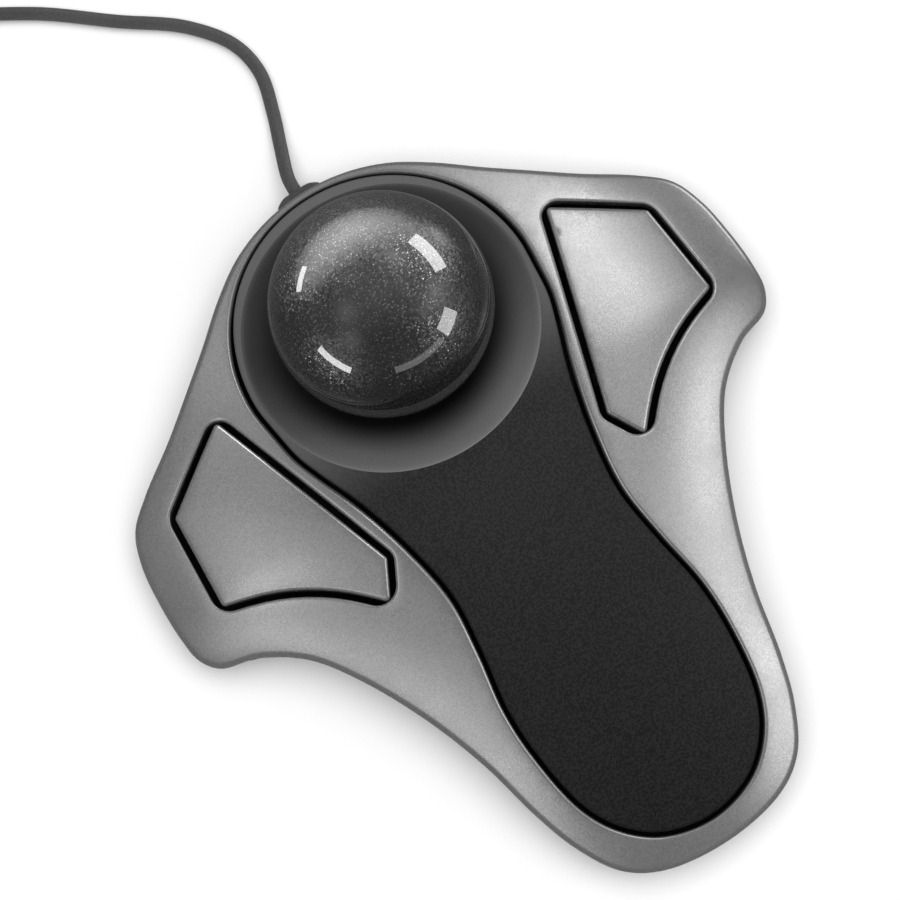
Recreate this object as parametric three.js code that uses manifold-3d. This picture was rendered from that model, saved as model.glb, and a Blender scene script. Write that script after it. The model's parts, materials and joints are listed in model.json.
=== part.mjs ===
// Trackball mouse: a ball in a dish at the front, two wing buttons, a long palm rest and a USB cable.
// Units are millimetres. Z is up and the desk is z = 0. +Y is the front (the cable side), +X is the right.
// The origin is on the desk, under the middle of the body, at the centre of the underside of a rubber foot.
import * as THREE from 'three';
import Module from 'manifold-3d';
import { mergeVertices } from 'three/addons/utils/BufferGeometryUtils.js';

const wasm = await Module();
wasm.setup();

// ---- driving sizes -------------------------------------------------------------------------
const BALL_R = 20;                 // a standard 40 mm ball
const BALL_Y = 41.5;
const BALL_Z = 30;
const DISH_TILT = 0.187;           // the ring and dish lean forward by this angle, radians
const CROWN_Z = 23;                // highest point of the body's top surface
const CROWN_Y = 1.5;
const WALL = 2.2;                  // thickness of the shell, the buttons and the palm rest
const EDGE_R = 1.6;                // rolled outer edge of the shell
const GAP = 0.6;                   // half of the visible gap round a button
const PALM_GAP = 0.4;              // half of the visible gap round the palm rest
const CLEAR = 0.3;                 // gap between pieces that rest on each other
const PIN_CLEAR = 0.05;            // running clearance of a hinge pin

const FOOT_TOP = 1.4;
const BASE_BOTTOM = 1.0;
const BASE_TOP = 3.0;
const SHELL_BOTTOM = BASE_TOP + CLEAR;
const BOSS_TOP = 5.0;              // top of the raised pads around the screws
const BOARD_BOTTOM = 4.2;
const BOARD_TOP = 5.8;
const SKY = 60;                    // any height above the whole body

const PIN_R = 1.0;
const PIN_Z = 13.0;
const PRESS_LIMIT = THREE.MathUtils.degToRad(3);

const CABLE_R = 1.25;

// Corners of the right button's gap line, in order round the button.
const BUTTON = {
  front: new THREE.Vector2(35.1, 43.3),
  outerFront: new THREE.Vector2(51.65, 32.5),
  outerRear: new THREE.Vector2(53.1, 13.6),
  innerRear: new THREE.Vector2(27.0, -3.4),
  inner: new THREE.Vector2(22.7, 4.4),
};

// ---- materials -----------------------------------------------------------------------------
const paint = (color, roughness, metalness) => new THREE.MeshStandardMaterial({ color, roughness, metalness });
const MATERIAL = {
  silver: paint(0xb9bbbe, 0.4, 0.55),
  charcoal: paint(0x2b2b2d, 0.6, 0),
  ballGrey: paint(0x3a3b3e, 0.15, 0.3),
  blackPlastic: paint(0x1c1c1e, 0.5, 0),
  rubber: paint(0x202022, 0.9, 0),
  cableGrey: paint(0x77787b, 0.7, 0),
  steel: paint(0xc9ccd0, 0.25, 1),
  boardGreen: paint(0x1f5c36, 0.5, 0),
  switchRed: paint(0x9c2f27, 0.5, 0),
  whitePlastic: paint(0xe6e6e2, 0.5, 0),
  clear: paint(0xdfe8ee, 0.05, 0),
  gold: paint(0xd2a94a, 0.3, 1),
  ribbon: paint(0xc9c4b4, 0.6, 0),
  paper: paint(0xd8d8d6, 0.8, 0),
};

// ---- solids --------------------------------------------------------------------------------
function solidOf(geometry) {
  geometry.deleteAttribute('normal');
  geometry.deleteAttribute('uv');
  const welded = mergeVertices(geometry, 1e-4);
  return new wasm.Manifold(new wasm.Mesh({
    numProp: 3,
    vertProperties: new Float32Array(welded.attributes.position.array),
    triVerts: new Uint32Array(welded.index.array),
  }));
}

function geometryOf(solid) {
  const mesh = solid.getMesh();
  const geometry = new THREE.BufferGeometry();
  geometry.setAttribute('position', new THREE.BufferAttribute(new Float32Array(mesh.vertProperties), 3));
  geometry.setIndex(new THREE.BufferAttribute(new Uint32Array(mesh.triVerts), 1));
  geometry.computeVertexNormals();
  return geometry;
}

function piece(name, solid, material) {
  const mesh = new THREE.Mesh(geometryOf(solid), material);
  mesh.name = name;
  return mesh;
}

const join = (solids) => solids.reduce((sum, next) => sum.add(next));
const cut = (solid, tools) => tools.reduce((rest, tool) => rest.subtract(tool), solid);

function prism(points, low, high) {
  const geometry = new THREE.ExtrudeGeometry(new THREE.Shape(points), { depth: high - low, bevelEnabled: false });
  geometry.translate(0, 0, low);
  return solidOf(geometry);
}

function box(x, y, low, width, length, high, turn = 0) {
  const geometry = new THREE.BoxGeometry(width, length, high - low);
  geometry.rotateZ(turn);
  geometry.translate(x, y, (low + high) / 2);
  return solidOf(geometry);
}

function rod(x, y, low, high, radius, sides = 24) {
  const geometry = new THREE.CylinderGeometry(radius, radius, high - low, sides);
  geometry.rotateX(Math.PI / 2);
  geometry.translate(x, y, (low + high) / 2);
  return solidOf(geometry);
}

// A round rod between two points in space.
function rodBetween(start, end, radius, sides = 24) {
  const span = new THREE.Vector3().subVectors(end, start);
  const geometry = new THREE.CylinderGeometry(radius, radius, span.length(), sides);
  const turn = new THREE.Quaternion().setFromUnitVectors(new THREE.Vector3(0, 1, 0), span.clone().normalize());
  geometry.applyQuaternion(turn);
  geometry.translate(...new THREE.Vector3().addVectors(start, end).multiplyScalar(0.5).toArray());
  return solidOf(geometry);
}

// A solid of revolution about Z. The profile is [radius, height] points and starts and ends on the axis.
function turned(profile, sides = 32) {
  const geometry = new THREE.LatheGeometry(profile.map(([r, z]) => new THREE.Vector2(r, z)), sides);
  geometry.rotateX(Math.PI / 2);
  return solidOf(geometry);
}

function ballSolid(radius, sides) {
  return solidOf(new THREE.SphereGeometry(radius, sides, sides / 2).rotateX(Math.PI / 2));
}

// ---- curves --------------------------------------------------------------------------------
// A closed curve that is the same on both sides, from the points of its right half, front to rear.
function mirroredLoop(rightHalf, perSpan) {
  const leftHalf = rightHalf.slice(1, -1).reverse().map(([x, y]) => [-x, y]);
  const knots = [...rightHalf, ...leftHalf].map(([x, y]) => new THREE.Vector3(x, y, 0));
  const curve = new THREE.CatmullRomCurve3(knots, true, 'centripetal');
  const points = curve.getPoints(knots.length * perSpan).slice(0, -1);
  return points.map((p) => new THREE.Vector2(p.x, p.y)).reverse();
}

function arcPoints(centreY, radiusX, radiusY, fromDegrees, toDegrees, count) {
  return Array.from({ length: count }, (_, i) => {
    const angle = THREE.MathUtils.degToRad(fromDegrees + ((toDegrees - fromDegrees) * i) / (count - 1));
    return [radiusX * Math.cos(angle), centreY + radiusY * Math.sin(angle)];
  });
}

// Moves every point of a counter-clockwise loop outwards by the distance (inwards when it is negative).
function offsetLoop(points, distance) {
  return points.map((point, i) => {
    const before = points[(i + points.length - 1) % points.length];
    const after = points[(i + 1) % points.length];
    const along = new THREE.Vector2().subVectors(after, before).normalize();
    return new THREE.Vector2(point.x + along.y * distance, point.y - along.x * distance);
  });
}

// A closed loop with straight sides and round corners. Each corner is { at, radius }.
function roundedLoop(corners, steps = 3) {
  return corners.flatMap(({ at, radius }, i) => {
    const toLast = corners[(i + corners.length - 1) % corners.length].at.clone().sub(at).normalize();
    const toNext = corners[(i + 1) % corners.length].at.clone().sub(at).normalize();
    const half = Math.acos(THREE.MathUtils.clamp(toLast.dot(toNext), -1, 1)) / 2;
    const centre = at.clone().addScaledVector(toLast.clone().add(toNext).normalize(), radius / Math.sin(half));
    const first = at.clone().addScaledVector(toLast, radius / Math.tan(half)).sub(centre);
    const turn = (Math.PI - 2 * half) * Math.sign(-toLast.cross(toNext));
    return Array.from({ length: steps + 1 }, (_, k) =>
      first.clone().rotateAround(new THREE.Vector2(), (turn * k) / steps).add(centre));
  });
}

function stadium(x, y, length, width, turn = 0) {
  const half = (length - width) / 2;
  const end = (side) => Array.from({ length: 7 }, (_, k) => {
    const angle = -Math.PI / 2 + (Math.PI * k) / 6;
    return new THREE.Vector2(side * (half + (width / 2) * Math.cos(angle)), side * (width / 2) * Math.sin(angle));
  });
  return [...end(1), ...end(-1)].map((p) => p.rotateAround(new THREE.Vector2(), turn).add(new THREE.Vector2(x, y)));
}

const flipped = (points) => points.map((p) => new THREE.Vector2(-p.x, p.y)).reverse();

// ---- the body's outer form -----------------------------------------------------------------
// Height of the body's top surface: a long low arch that falls away to both sides.
function topHeight(x, y) {
  const rear = THREE.MathUtils.smoothstep(-y, -16.5, 38.5);
  const sideFall = (0.0022 + 0.006 * rear) * x * x + 4.2e-7 * x ** 4;
  return CROWN_Z - 0.0025 * (y - CROWN_Y) ** 2 - sideFall;
}

// Everything below the top surface, lowered by the drop.
function underTop(drop, columns = 10, rows = 8) {
  const geometry = new THREE.BoxGeometry(136, 152, 40, columns, rows, 1);
  const position = geometry.attributes.position;
  for (let i = 0; i < position.count; i += 1) {
    const top = position.getZ(i) > 0;
    position.setZ(i, top ? topHeight(position.getX(i), position.getY(i)) - drop : -20);
  }
  return solidOf(geometry);
}

const SURFACE = underTop(0, 17, 12);
const UNDERSIDE = underTop(WALL);

// A block with the outline's plan shape, a vertical side and a rolled upper edge, open upwards to SKY.
function rolledBlock(outline, radius, low, steps = 2) {
  const rolls = Array.from({ length: steps + 1 }, (_, k) => {
    const angle = ((Math.PI / 2) * k) / steps;
    const loop = offsetLoop(outline, -radius * (1 - Math.cos(angle)));
    return loop.map((p) => [p.x, p.y, topHeight(p.x, p.y) - radius * (1 - Math.sin(angle))]);
  });
  const first = outline.map((p) => [p.x, p.y, low]);
  const last = rolls[steps].map(([x, y]) => [x, y, SKY]);
  const loops = [first, ...rolls, last];
  const count = outline.length;
  const faces = [];
  for (let level = 0; level < loops.length - 1; level += 1) {
    for (let i = 0; i < count; i += 1) {
      const next = (i + 1) % count;
      const a = level * count + i;
      const b = level * count + next;
      faces.push(a, b, b + count, a, b + count, a + count);
    }
  }
  const topStart = (loops.length - 1) * count;
  const lowCap = THREE.ShapeUtils.triangulateShape(outline, []);
  const topCap = THREE.ShapeUtils.triangulateShape(last.map(([x, y]) => new THREE.Vector2(x, y)), []);
  lowCap.forEach(([a, b, c]) => faces.push(a, c, b));
  topCap.forEach(([a, b, c]) => faces.push(topStart + a, topStart + b, topStart + c));
  return new wasm.Manifold(new wasm.Mesh({
    numProp: 3,
    vertProperties: new Float32Array(loops.flat(2)),
    triVerts: new Uint32Array(faces),
  }));
}

// Plan of the whole body: a round nose, swept wings, a narrow waist and a rounded tail.
const BODY = mirroredLoop([
  ...arcPoints(33.7, 35.9, 35.9, 90, 50, 4),
  [30.2, 55.3], [35.8, 51.0], [44.5, 44.6], [53.3, 39.0], [58.5, 34.7], [60.9, 28.8],
  [61.9, 21.4], [62.1, 14.2], [61.5, 9.0], [59.0, 5.5], [52.2, 3.0], [44.8, -2.4],
  [39.0, -10.8], [33.1, -23.2], [29.0, -35.5], [26.3, -47.7], [23.5, -56.4], [18.9, -64.2],
  [12.5, -68.3], [0, -70.2],
], 2);

// Plan of the gap round the palm rest: a round head about the ball, a neck and a rounded tail.
const PALM = mirroredLoop([
  ...arcPoints(39.5, 28.4, 28.6, 90, -12, 8),
  [27.0, 28.2], [25.4, 23.3], [22.5, 15.5], [19.4, 4.0], [17.7, -7.8], [18.8, -18.5],
  [20.6, -29.5], [20.6, -38.8], [18.7, -50.9], [15.1, -57.8], [9.2, -62.8], [0, -65.0],
], 2);

// Plan of the gap round the right button. Its rear side is a shallow hollow arc.
function buttonPlan() {
  const rearSide = new THREE.Vector2().subVectors(BUTTON.innerRear, BUTTON.outerRear);
  const hollow = rearSide.clone().multiplyScalar(0.5).add(BUTTON.outerRear);
  hollow.add(new THREE.Vector2(rearSide.y, -rearSide.x).normalize().multiplyScalar(4));
  return roundedLoop([
    { at: BUTTON.front, radius: 2.4 },
    { at: BUTTON.inner, radius: 2.4 },
    { at: BUTTON.innerRear, radius: 2.8 },
    { at: hollow, radius: 42 },
    { at: BUTTON.outerRear, radius: 3.2 },
    { at: BUTTON.outerFront, radius: 3.2 },
  ]);
}
const RIGHT_BUTTON = buttonPlan();

// The hinge line runs along the button's inner side, just inside it. Stations are measured along it, forwards.
const HINGE_ALONG = new THREE.Vector2().subVectors(BUTTON.front, BUTTON.inner).normalize();
const HINGE_OUT = new THREE.Vector2(HINGE_ALONG.y, -HINGE_ALONG.x);
const HINGE_MIDDLE = BUTTON.inner.clone().lerp(BUTTON.front, 0.45).addScaledVector(HINGE_OUT, 2.4);
const HINGE_TURN = Math.atan2(HINGE_ALONG.y, HINGE_ALONG.x);
const PIN_LENGTH = 25;
const LUG_STATION = 7.5;
const POST_STATION = 11;
const SWITCH_ARM = 8.3;            // from the hinge line to the middle of the switch
const SWITCH_AT = HINGE_MIDDLE.clone().addScaledVector(HINGE_OUT, SWITCH_ARM);
const SWITCH_TOP = 12.6;
const PLUNGER_TOP = 13.5;

const onHinge = (station) => HINGE_MIDDLE.clone().addScaledVector(HINGE_ALONG, station);
const hingePoint = (station) => new THREE.Vector3(onHinge(station).x, onHinge(station).y, PIN_Z);
const pinRod = (radius, halfLength) => rodBetween(hingePoint(-halfLength), hingePoint(halfLength), radius);

// Screw places, on both sides of the middle.
const CASE_SCREWS = [[32.6, 46.0], [54.0, 7.2], [-54.0, 7.2], [-32.6, 46.0]];
const BOARD_SCREWS = [[0, -2], [0, -46]];

// ---- ball, dish and cup, in a frame whose Z is the dish's axis and whose origin is the ball's centre ----
function toBall(solid) {
  return solid.rotate([THREE.MathUtils.radToDeg(-DISH_TILT), 0, 0]).translate([0, BALL_Y, BALL_Z]);
}

const DISH = [[15.2, -17.7], [17.4, -17.0], [20, -16.0], [23.4, -14.4], [26.8, -12.5]];
const DISH_MOUTH = 15.2;           // the palm rest's dish ends here and the ball cup begins
const CUP_R = DISH_MOUTH - CLEAR;

function aboveDish() {
  return toBall(turned([[0, -18.6], [12, -18.6], ...DISH, [33.8, -8.2], [33.8, 20], [0, 20]], 40));
}

function bearingDirection(azimuthDegrees) {
  const azimuth = THREE.MathUtils.degToRad(azimuthDegrees);
  const polar = THREE.MathUtils.degToRad(33);
  return new THREE.Vector3(Math.sin(polar) * Math.cos(azimuth), Math.sin(polar) * Math.sin(azimuth), -Math.cos(polar));
}

const BEARING_R = 1.5;
const BEARING_AT = BALL_R + BEARING_R + 0.3;
const BEARINGS = { front: 90, left: 210, right: 330 };

// The optical sensor looks at the ball from behind and below, along this direction from the ball's centre.
const SENSOR_DIP = THREE.MathUtils.degToRad(40);
function alongSensor(solid) {
  return solid.rotate([THREE.MathUtils.radToDeg(-SENSOR_DIP), 0, 0]).translate([0, BALL_Y, BALL_Z]);
}

function makeBall() {
  const mesh = new THREE.Mesh(new THREE.SphereGeometry(BALL_R, 32, 16).rotateX(Math.PI / 2), MATERIAL.ballGrey);
  mesh.geometry = geometryOf(solidOf(mesh.geometry));
  mesh.name = 'ball';
  mesh.position.set(0, BALL_Y, BALL_Z);
  return mesh;
}

function makeBallCup() {
  const bowl = turned([
    [0, -23.2], [7.5, -23.2], [12, -21.3], [CUP_R, -19.8], [CUP_R, -17.9], [12, -19.3], [7.5, -21.4], [0, -21.4],
  ], 28);
  const seats = Object.values(BEARINGS).map((azimuth) => {
    const direction = bearingDirection(azimuth);
    return rodBetween(direction.clone().multiplyScalar(21.7), direction.clone().multiplyScalar(23.6), 1.95, 12);
  });
  const pockets = Object.values(BEARINGS).map((azimuth) =>
    ballSolid(BEARING_R + CLEAR / 2, 12).translate(bearingDirection(azimuth).multiplyScalar(BEARING_AT).toArray()));
  const ejectHole = rod(0, 0, -30, -15, 7, 24);
  const cup = toBall(cut(join([bowl, ...seats]), [...pockets, ejectHole]));
  const sensorWindow = alongSensor(rod(0, 0, -30, -18, 2.5, 16));
  return piece('ball_cup', cup.subtract(sensorWindow), MATERIAL.blackPlastic);
}

function makeBearing(side) {
  const solid = ballSolid(BEARING_R, 12).translate(bearingDirection(BEARINGS[side]).multiplyScalar(BEARING_AT).toArray());
  return piece(`bearing_${side}`, toBall(solid), MATERIAL.steel);
}

// ---- outer pieces --------------------------------------------------------------------------
function makePalmRest() {
  const outline = offsetLoop(PALM, -PALM_GAP);
  const block = rolledBlock(outline, 0.5, 2).intersect(SURFACE);
  const hollow = prism(offsetLoop(outline, -WALL), 0, SKY).intersect(UNDERSIDE);
  const skin = cut(block, [underTop(WALL + 2.2), hollow]);
  const bowl = toBall(turned([
    [0, -21], [14, -20.2], [18, -18.9], [21, -17.8], [24.3, -16.1], [27.4, -14.2], [27.4, 6], [0, 6],
  ], 40)).intersect(block);
  const mouth = toBall(rod(0, 0, -40, 0, DISH_MOUTH, 40));
  return piece('palm_rest', cut(join([skin, bowl]), [aboveDish(), mouth]), MATERIAL.charcoal);
}

function shellBoss([x, y]) {
  return rod(x, y, BOSS_TOP + CLEAR, SKY, 2.7, 16).intersect(underTop(1));
}

function makeTopShell() {
  const outer = rolledBlock(BODY, EDGE_R, SHELL_BOTTOM).intersect(SURFACE);
  const hollow = prism(offsetLoop(BODY, -WALL), 0, SKY).intersect(UNDERSIDE);
  const bosses = CASE_SCREWS.map(shellBoss);
  const pilots = CASE_SCREWS.map(([x, y]) => rod(x, y, 0, 9.8, 1.2, 12));
  const palmHole = prism(offsetLoop(PALM, PALM_GAP), 0, SKY);
  const rightWindow = prism(offsetLoop(RIGHT_BUTTON, GAP), 0, SKY);
  const leftWindow = prism(flipped(offsetLoop(RIGHT_BUTTON, GAP)), 0, SKY);
  const shell = cut(outer, [hollow, palmHole, rightWindow, leftWindow]);
  const withBosses = cut(join([shell, ...bosses]), [...pilots, cableDoor(CLEAR), palmHole]);
  return piece('top_shell', withBosses, MATERIAL.silver);
}

function makeButton(name, side) {
  const outline = offsetLoop(RIGHT_BUTTON, -GAP);
  const skin = rolledBlock(outline, 0.6, 0).intersect(SURFACE).subtract(UNDERSIDE);
  const roof = underTop(1);
  const lugs = [-LUG_STATION, LUG_STATION].map((station) => {
    const at = onHinge(station);
    return box(at.x, at.y, PIN_Z - 2, 3, 4, SKY, HINGE_TURN).intersect(roof);
  });
  const rib = box(SWITCH_AT.x, SWITCH_AT.y, PLUNGER_TOP + CLEAR, 6, 1.6, SKY, HINGE_TURN).intersect(roof);
  const button = cut(join([skin, ...lugs, rib]), [pinRod(PIN_R + PIN_CLEAR, PIN_LENGTH)]);
  return piece(name, button.scale([side, 1, 1]), MATERIAL.silver);
}

function makeHingePin(name, side) {
  return piece(name, pinRod(PIN_R, PIN_LENGTH / 2).scale([side, 1, 1]), MATERIAL.steel);
}

// ---- base ----------------------------------------------------------------------------------
const FEET = {
  foot_centre: { x: 0, y: 0, length: 22, width: 7, turn: 0 },
  foot_rear: { x: 0, y: -58, length: 22, width: 7, turn: 0 },
  foot_front: { x: 0, y: 60, length: 22, width: 6, turn: 0 },
  foot_left: { x: -50, y: 20, length: 18, width: 6, turn: Math.PI / 2 },
  foot_right: { x: 50, y: 20, length: 18, width: 6, turn: Math.PI / 2 },
};
const LABEL = { x: 0, y: -28, length: 26, width: 20 };
const EJECT_HOLE_R = 8;

function makeFoot(name) {
  const { x, y, length, width, turn } = FEET[name];
  return piece(name, prism(stadium(x, y, length, width, turn), 0, FOOT_TOP), MATERIAL.rubber);
}

function makeLabel() {
  const { x, y, length, width } = LABEL;
  return piece('rating_label', box(x, y, BASE_BOTTOM + 0.05, length, width, BASE_BOTTOM + 0.3), MATERIAL.paper);
}

function footPockets() {
  return Object.values(FEET).map(({ x, y, length, width, turn }) =>
    prism(stadium(x, y, length + 2 * CLEAR, width + 2 * CLEAR, turn), 0, FOOT_TOP + CLEAR));
}

function hingePost(station, side) {
  const at = onHinge(station);
  return box(at.x, at.y, BASE_BOTTOM + 0.5, 2.6, 4.4, PIN_Z + 2.4, HINGE_TURN).scale([side, 1, 1]);
}

// Standing wall under the ball cup, cut to the cup's shape and open at the rear for the sensor.
function cupRing() {
  const ring = rod(0, BALL_Y, BASE_BOTTOM + 0.5, 13, 13, 32).subtract(rod(0, BALL_Y, 0, 14, 11.4, 32));
  const cupRoom = toBall(turned([
    [0, -23.6], [7.6, -23.6], [12.1, -21.7], [15.4, -20.8], [18, -19.5], [24, -16.8], [24, -5], [0, -5],
  ], 40));
  return cut(ring, [cupRoom, box(0, BALL_Y - 12, 0, 19, 18, 14)]);
}

function makeBasePlate() {
  const outline = offsetLoop(BODY, -0.7);
  const plate = prism(outline, BASE_BOTTOM, BASE_TOP);
  const screwPads = CASE_SCREWS.map(([x, y]) => rod(x, y, BASE_BOTTOM + 0.5, BOSS_TOP, 3.9, 20));
  const standoffs = BOARD_SCREWS.map(([x, y]) => rod(x, y, BASE_BOTTOM + 1, BOARD_BOTTOM - CLEAR, 2.8, 16));
  const posts = [-1, 1].flatMap((side) => [-POST_STATION, POST_STATION].map((s) => hingePost(s, side)));
  const room = prism(offsetLoop(BODY, -WALL - CLEAR), 0, SKY).intersect(underTop(WALL + CLEAR));
  const raised = join([...screwPads, ...standoffs, ...posts, cupRing()]).intersect(room);
  const solid = plate.add(raised);
  const screwHoles = CASE_SCREWS.flatMap(([x, y]) => [rod(x, y, 0, 3.1, 2.9, 20), rod(x, y, 0, 6, 1.4, 12)]);
  const pilots = BOARD_SCREWS.map(([x, y]) => rod(x, y, BASE_TOP - 0.6, 6, 1.0, 12));
  const pinBores = [-1, 1].map((side) => pinRod(PIN_R + PIN_CLEAR, PIN_LENGTH).scale([side, 1, 1]));
  const labelPocket = box(LABEL.x, LABEL.y, 0, LABEL.length + 0.6, LABEL.width + 0.6, BASE_BOTTOM + 0.6);
  const ejectHole = rod(0, BALL_Y, 0, 4, EJECT_HOLE_R, 32);
  const tools = [...footPockets(), ...screwHoles, ...pilots, ...pinBores, labelPocket, ejectHole, cableDoor(CLEAR)];
  return piece('base_plate', cut(solid, tools), MATERIAL.blackPlastic);
}

// Case screw: pan head with a cross recess below, shaft up into the shell's boss.
function makeCaseScrew(name, [x, y]) {
  const screw = turned([[0, 0], [2.2, 0], [2.5, 0.4], [2.5, 1.6], [1.05, 1.6], [1.05, 7.4], [0, 8.2]], 12);
  const recess = [box(0, 0, -1, 2.8, 0.7, 1), box(0, 0, -1, 0.7, 2.8, 1)];
  return piece(name, cut(screw, recess).translate([x, y, 1.2]), MATERIAL.steel);
}

// Board screw: head on top of the board, shaft down into a standoff.
function makeBoardScrew(name, [x, y]) {
  const screw = turned([[0, -3.2], [0.85, -2.7], [0.85, 0], [2.2, 0], [2.2, 0.9], [1.7, 1.4], [0, 1.4]], 12);
  const recess = [box(0, 0, 0.7, 2.2, 0.6, 3), box(0, 0, 0.7, 0.6, 2.2, 3)];
  return piece(name, cut(screw, recess).translate([x, y, BOARD_TOP + CLEAR]), MATERIAL.steel);
}

// ---- boards and switches -------------------------------------------------------------------
const LEG_R = 0.45;
const LEG_STATIONS = [-5, 0, 5];

function switchLegs(radius, low, high) {
  return LEG_STATIONS.map((station) => {
    const at = SWITCH_AT.clone().addScaledVector(HINGE_ALONG, station);
    return rod(at.x, at.y, low, high, radius, 8);
  });
}

function makeMainBoard() {
  const stem = box(0, -18, BOARD_BOTTOM, 26, 66, BOARD_TOP);
  const arms = box(0, 18.9, BOARD_BOTTOM, 96, 12.2, BOARD_TOP);
  const legHoles = [-1, 1].flatMap((side) => switchLegs(0.75, 0, 8).map((leg) => leg.scale([side, 1, 1])));
  const screwHoles = BOARD_SCREWS.map(([x, y]) => rod(x, y, 0, 8, 1.2, 12));
  const sensorRoom = box(0, 22, 0, 22, 16, 8);
  return piece('main_board', cut(join([stem, arms]), [...legHoles, ...screwHoles, sensorRoom]), MATERIAL.boardGreen);
}

function makeSwitchBase(name, side) {
  const body = box(SWITCH_AT.x, SWITCH_AT.y, BOARD_TOP + CLEAR, 12.8, 5.8, 8.9, HINGE_TURN);
  const solid = join([body, ...switchLegs(LEG_R, BOARD_BOTTOM - 0.8, 7)]);
  return piece(name, solid.scale([side, 1, 1]), MATERIAL.blackPlastic);
}

function makeSwitchCover(name, side) {
  const body = box(SWITCH_AT.x, SWITCH_AT.y, 9.2, 12.8, 5.8, SWITCH_TOP, HINGE_TURN);
  const plungerHole = rod(SWITCH_AT.x, SWITCH_AT.y, 10.2, SKY, 1.4, 16);
  return piece(name, body.subtract(plungerHole).scale([side, 1, 1]), MATERIAL.switchRed);
}

function makePlunger(name, side) {
  return piece(name, rod(SWITCH_AT.x, SWITCH_AT.y, 11.2, PLUNGER_TOP, 1.1, 16).scale([side, 1, 1]), MATERIAL.whitePlastic);
}

function makeSensorParts() {
  const nose = rod(0, 0, -27, -23.8, 2.0, 16);
  const lens = alongSensor(join([box(0, 0, -27.3, 11, 7.6, -25.9), nose]));
  const chip = alongSensor(box(0, -0.5, -29.2, 9.8, 7, -27.6));
  const board = alongSensor(box(0, -1.2, -30.7, 17, 10.6, -29.5));
  const lamp = alongSensor(rod(6.7, 0, -29.2, -27.2, 1.25, 12));
  return [
    piece('sensor_lens', lens, MATERIAL.clear),
    piece('optical_sensor', chip, MATERIAL.blackPlastic),
    piece('sensor_board', board, MATERIAL.boardGreen),
    piece('sensor_lamp', lamp, MATERIAL.switchRed),
  ];
}

// Flat ribbon from the back of the sensor board down to the main board.
function makeSensorRibbon() {
  const upper = [[17.3, 9.3], [15.2, 9.2], [13.4, 8.2], [12.6, BOARD_TOP + CLEAR]];
  const lower = [[13.0, BOARD_TOP + CLEAR], [13.8, 7.9], [15.3, 8.8], [17.5, 8.9]];
  const outline = new THREE.Shape([...upper, ...lower].map(([y, z]) => new THREE.Vector2(y, z)));
  const geometry = new THREE.ExtrudeGeometry(outline, { depth: 7, bevelEnabled: false });
  geometry.rotateX(Math.PI / 2);
  geometry.rotateZ(Math.PI / 2);
  geometry.translate(-3.5, 0, 0);
  return piece('sensor_ribbon', solidOf(geometry), MATERIAL.ribbon);
}

function makeBoardParts() {
  const onBoard = BOARD_TOP + CLEAR;
  const can = rod(8.5, -34, onBoard, onBoard + 7, 2.5, 20);
  return [
    piece('controller_chip', box(0, -18, onBoard, 9, 9, onBoard + 1.6), MATERIAL.blackPlastic),
    piece('clock_crystal', prism(stadium(0, -31, 9, 4.2), onBoard, onBoard + 3.2), MATERIAL.steel),
    piece('supply_capacitor', can, MATERIAL.blackPlastic),
    piece('cable_connector', box(17, 17, onBoard, 9, 5, onBoard + 4.5).subtract(
      box(17, 19.6, onBoard + 0.8, 7, 4, onBoard + 3.7)), MATERIAL.whitePlastic),
  ];
}

// ---- cable and plug ------------------------------------------------------------------------
const CABLE_EXIT = new THREE.Vector3(0, 69, 5.2);

// The opening in the front wall for the cable's grommet.
function cableDoor(clearance) {
  const { x, z } = CABLE_EXIT;
  return box(x, 69, z - 1.9 - clearance, 7 + 2 * clearance, 8, z + 1.9 + clearance);
}

function makeGrommet() {
  const { x, z } = CABLE_EXIT;
  const throat = box(x, 68.6, z - 1.9, 7, 4.8, z + 1.9);
  const inside = box(x, 66.2, z - 1.9, 9, 1.6, z + 2.2);
  const outside = prism(roundedLoop([
    { at: new THREE.Vector2(x - 5.4, 70), radius: 0.3 }, { at: new THREE.Vector2(x + 5.4, 70), radius: 0.3 },
    { at: new THREE.Vector2(x + 3, 71.4), radius: 1.0 }, { at: new THREE.Vector2(x - 3, 71.4), radius: 1.0 },
  ]), z - 2.4, z + 2.2);
  const bore = rodBetween(new THREE.Vector3(x, 60, z), new THREE.Vector3(x, 78, z), CABLE_R + CLEAR, 16);
  return piece('cable_grommet', join([throat, inside, outside]).subtract(bore), MATERIAL.cableGrey);
}

const PLUG_AT = new THREE.Vector3(-58, 136, 4.4);
const PLUG_HEADING = Math.PI;

function plugFrame(solid) {
  return solid.rotate([0, 0, THREE.MathUtils.radToDeg(PLUG_HEADING)]).translate(PLUG_AT.toArray());
}

function cablePath() {
  const low = CABLE_R + 0.2;
  const heading = new THREE.Vector3(Math.cos(PLUG_HEADING), Math.sin(PLUG_HEADING), 0);
  return new THREE.CatmullRomCurve3([
    new THREE.Vector3(17, 20.4, 8.4), new THREE.Vector3(18.6, 27, 7.6), new THREE.Vector3(19, 38, 4.8),
    new THREE.Vector3(14, 52, 4.7), new THREE.Vector3(4, 59.5, 5.1), new THREE.Vector3(0, 64.5, 5.2),
    new THREE.Vector3(0, 68, 5.2), new THREE.Vector3(0, 71.5, 5.2), new THREE.Vector3(0.3, 74.5, 4.8),
    new THREE.Vector3(2.6, 81, 2.4),
    ...DESK_RUN.map(([x, y]) => new THREE.Vector3(x, y, low)),
    PLUG_AT.clone().addScaledVector(heading, -20).setZ(2.2), PLUG_AT.clone().addScaledVector(heading, -11),
    PLUG_AT.clone().addScaledVector(heading, -6), PLUG_AT.clone().addScaledVector(heading, 2),
  ]);
}

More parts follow.
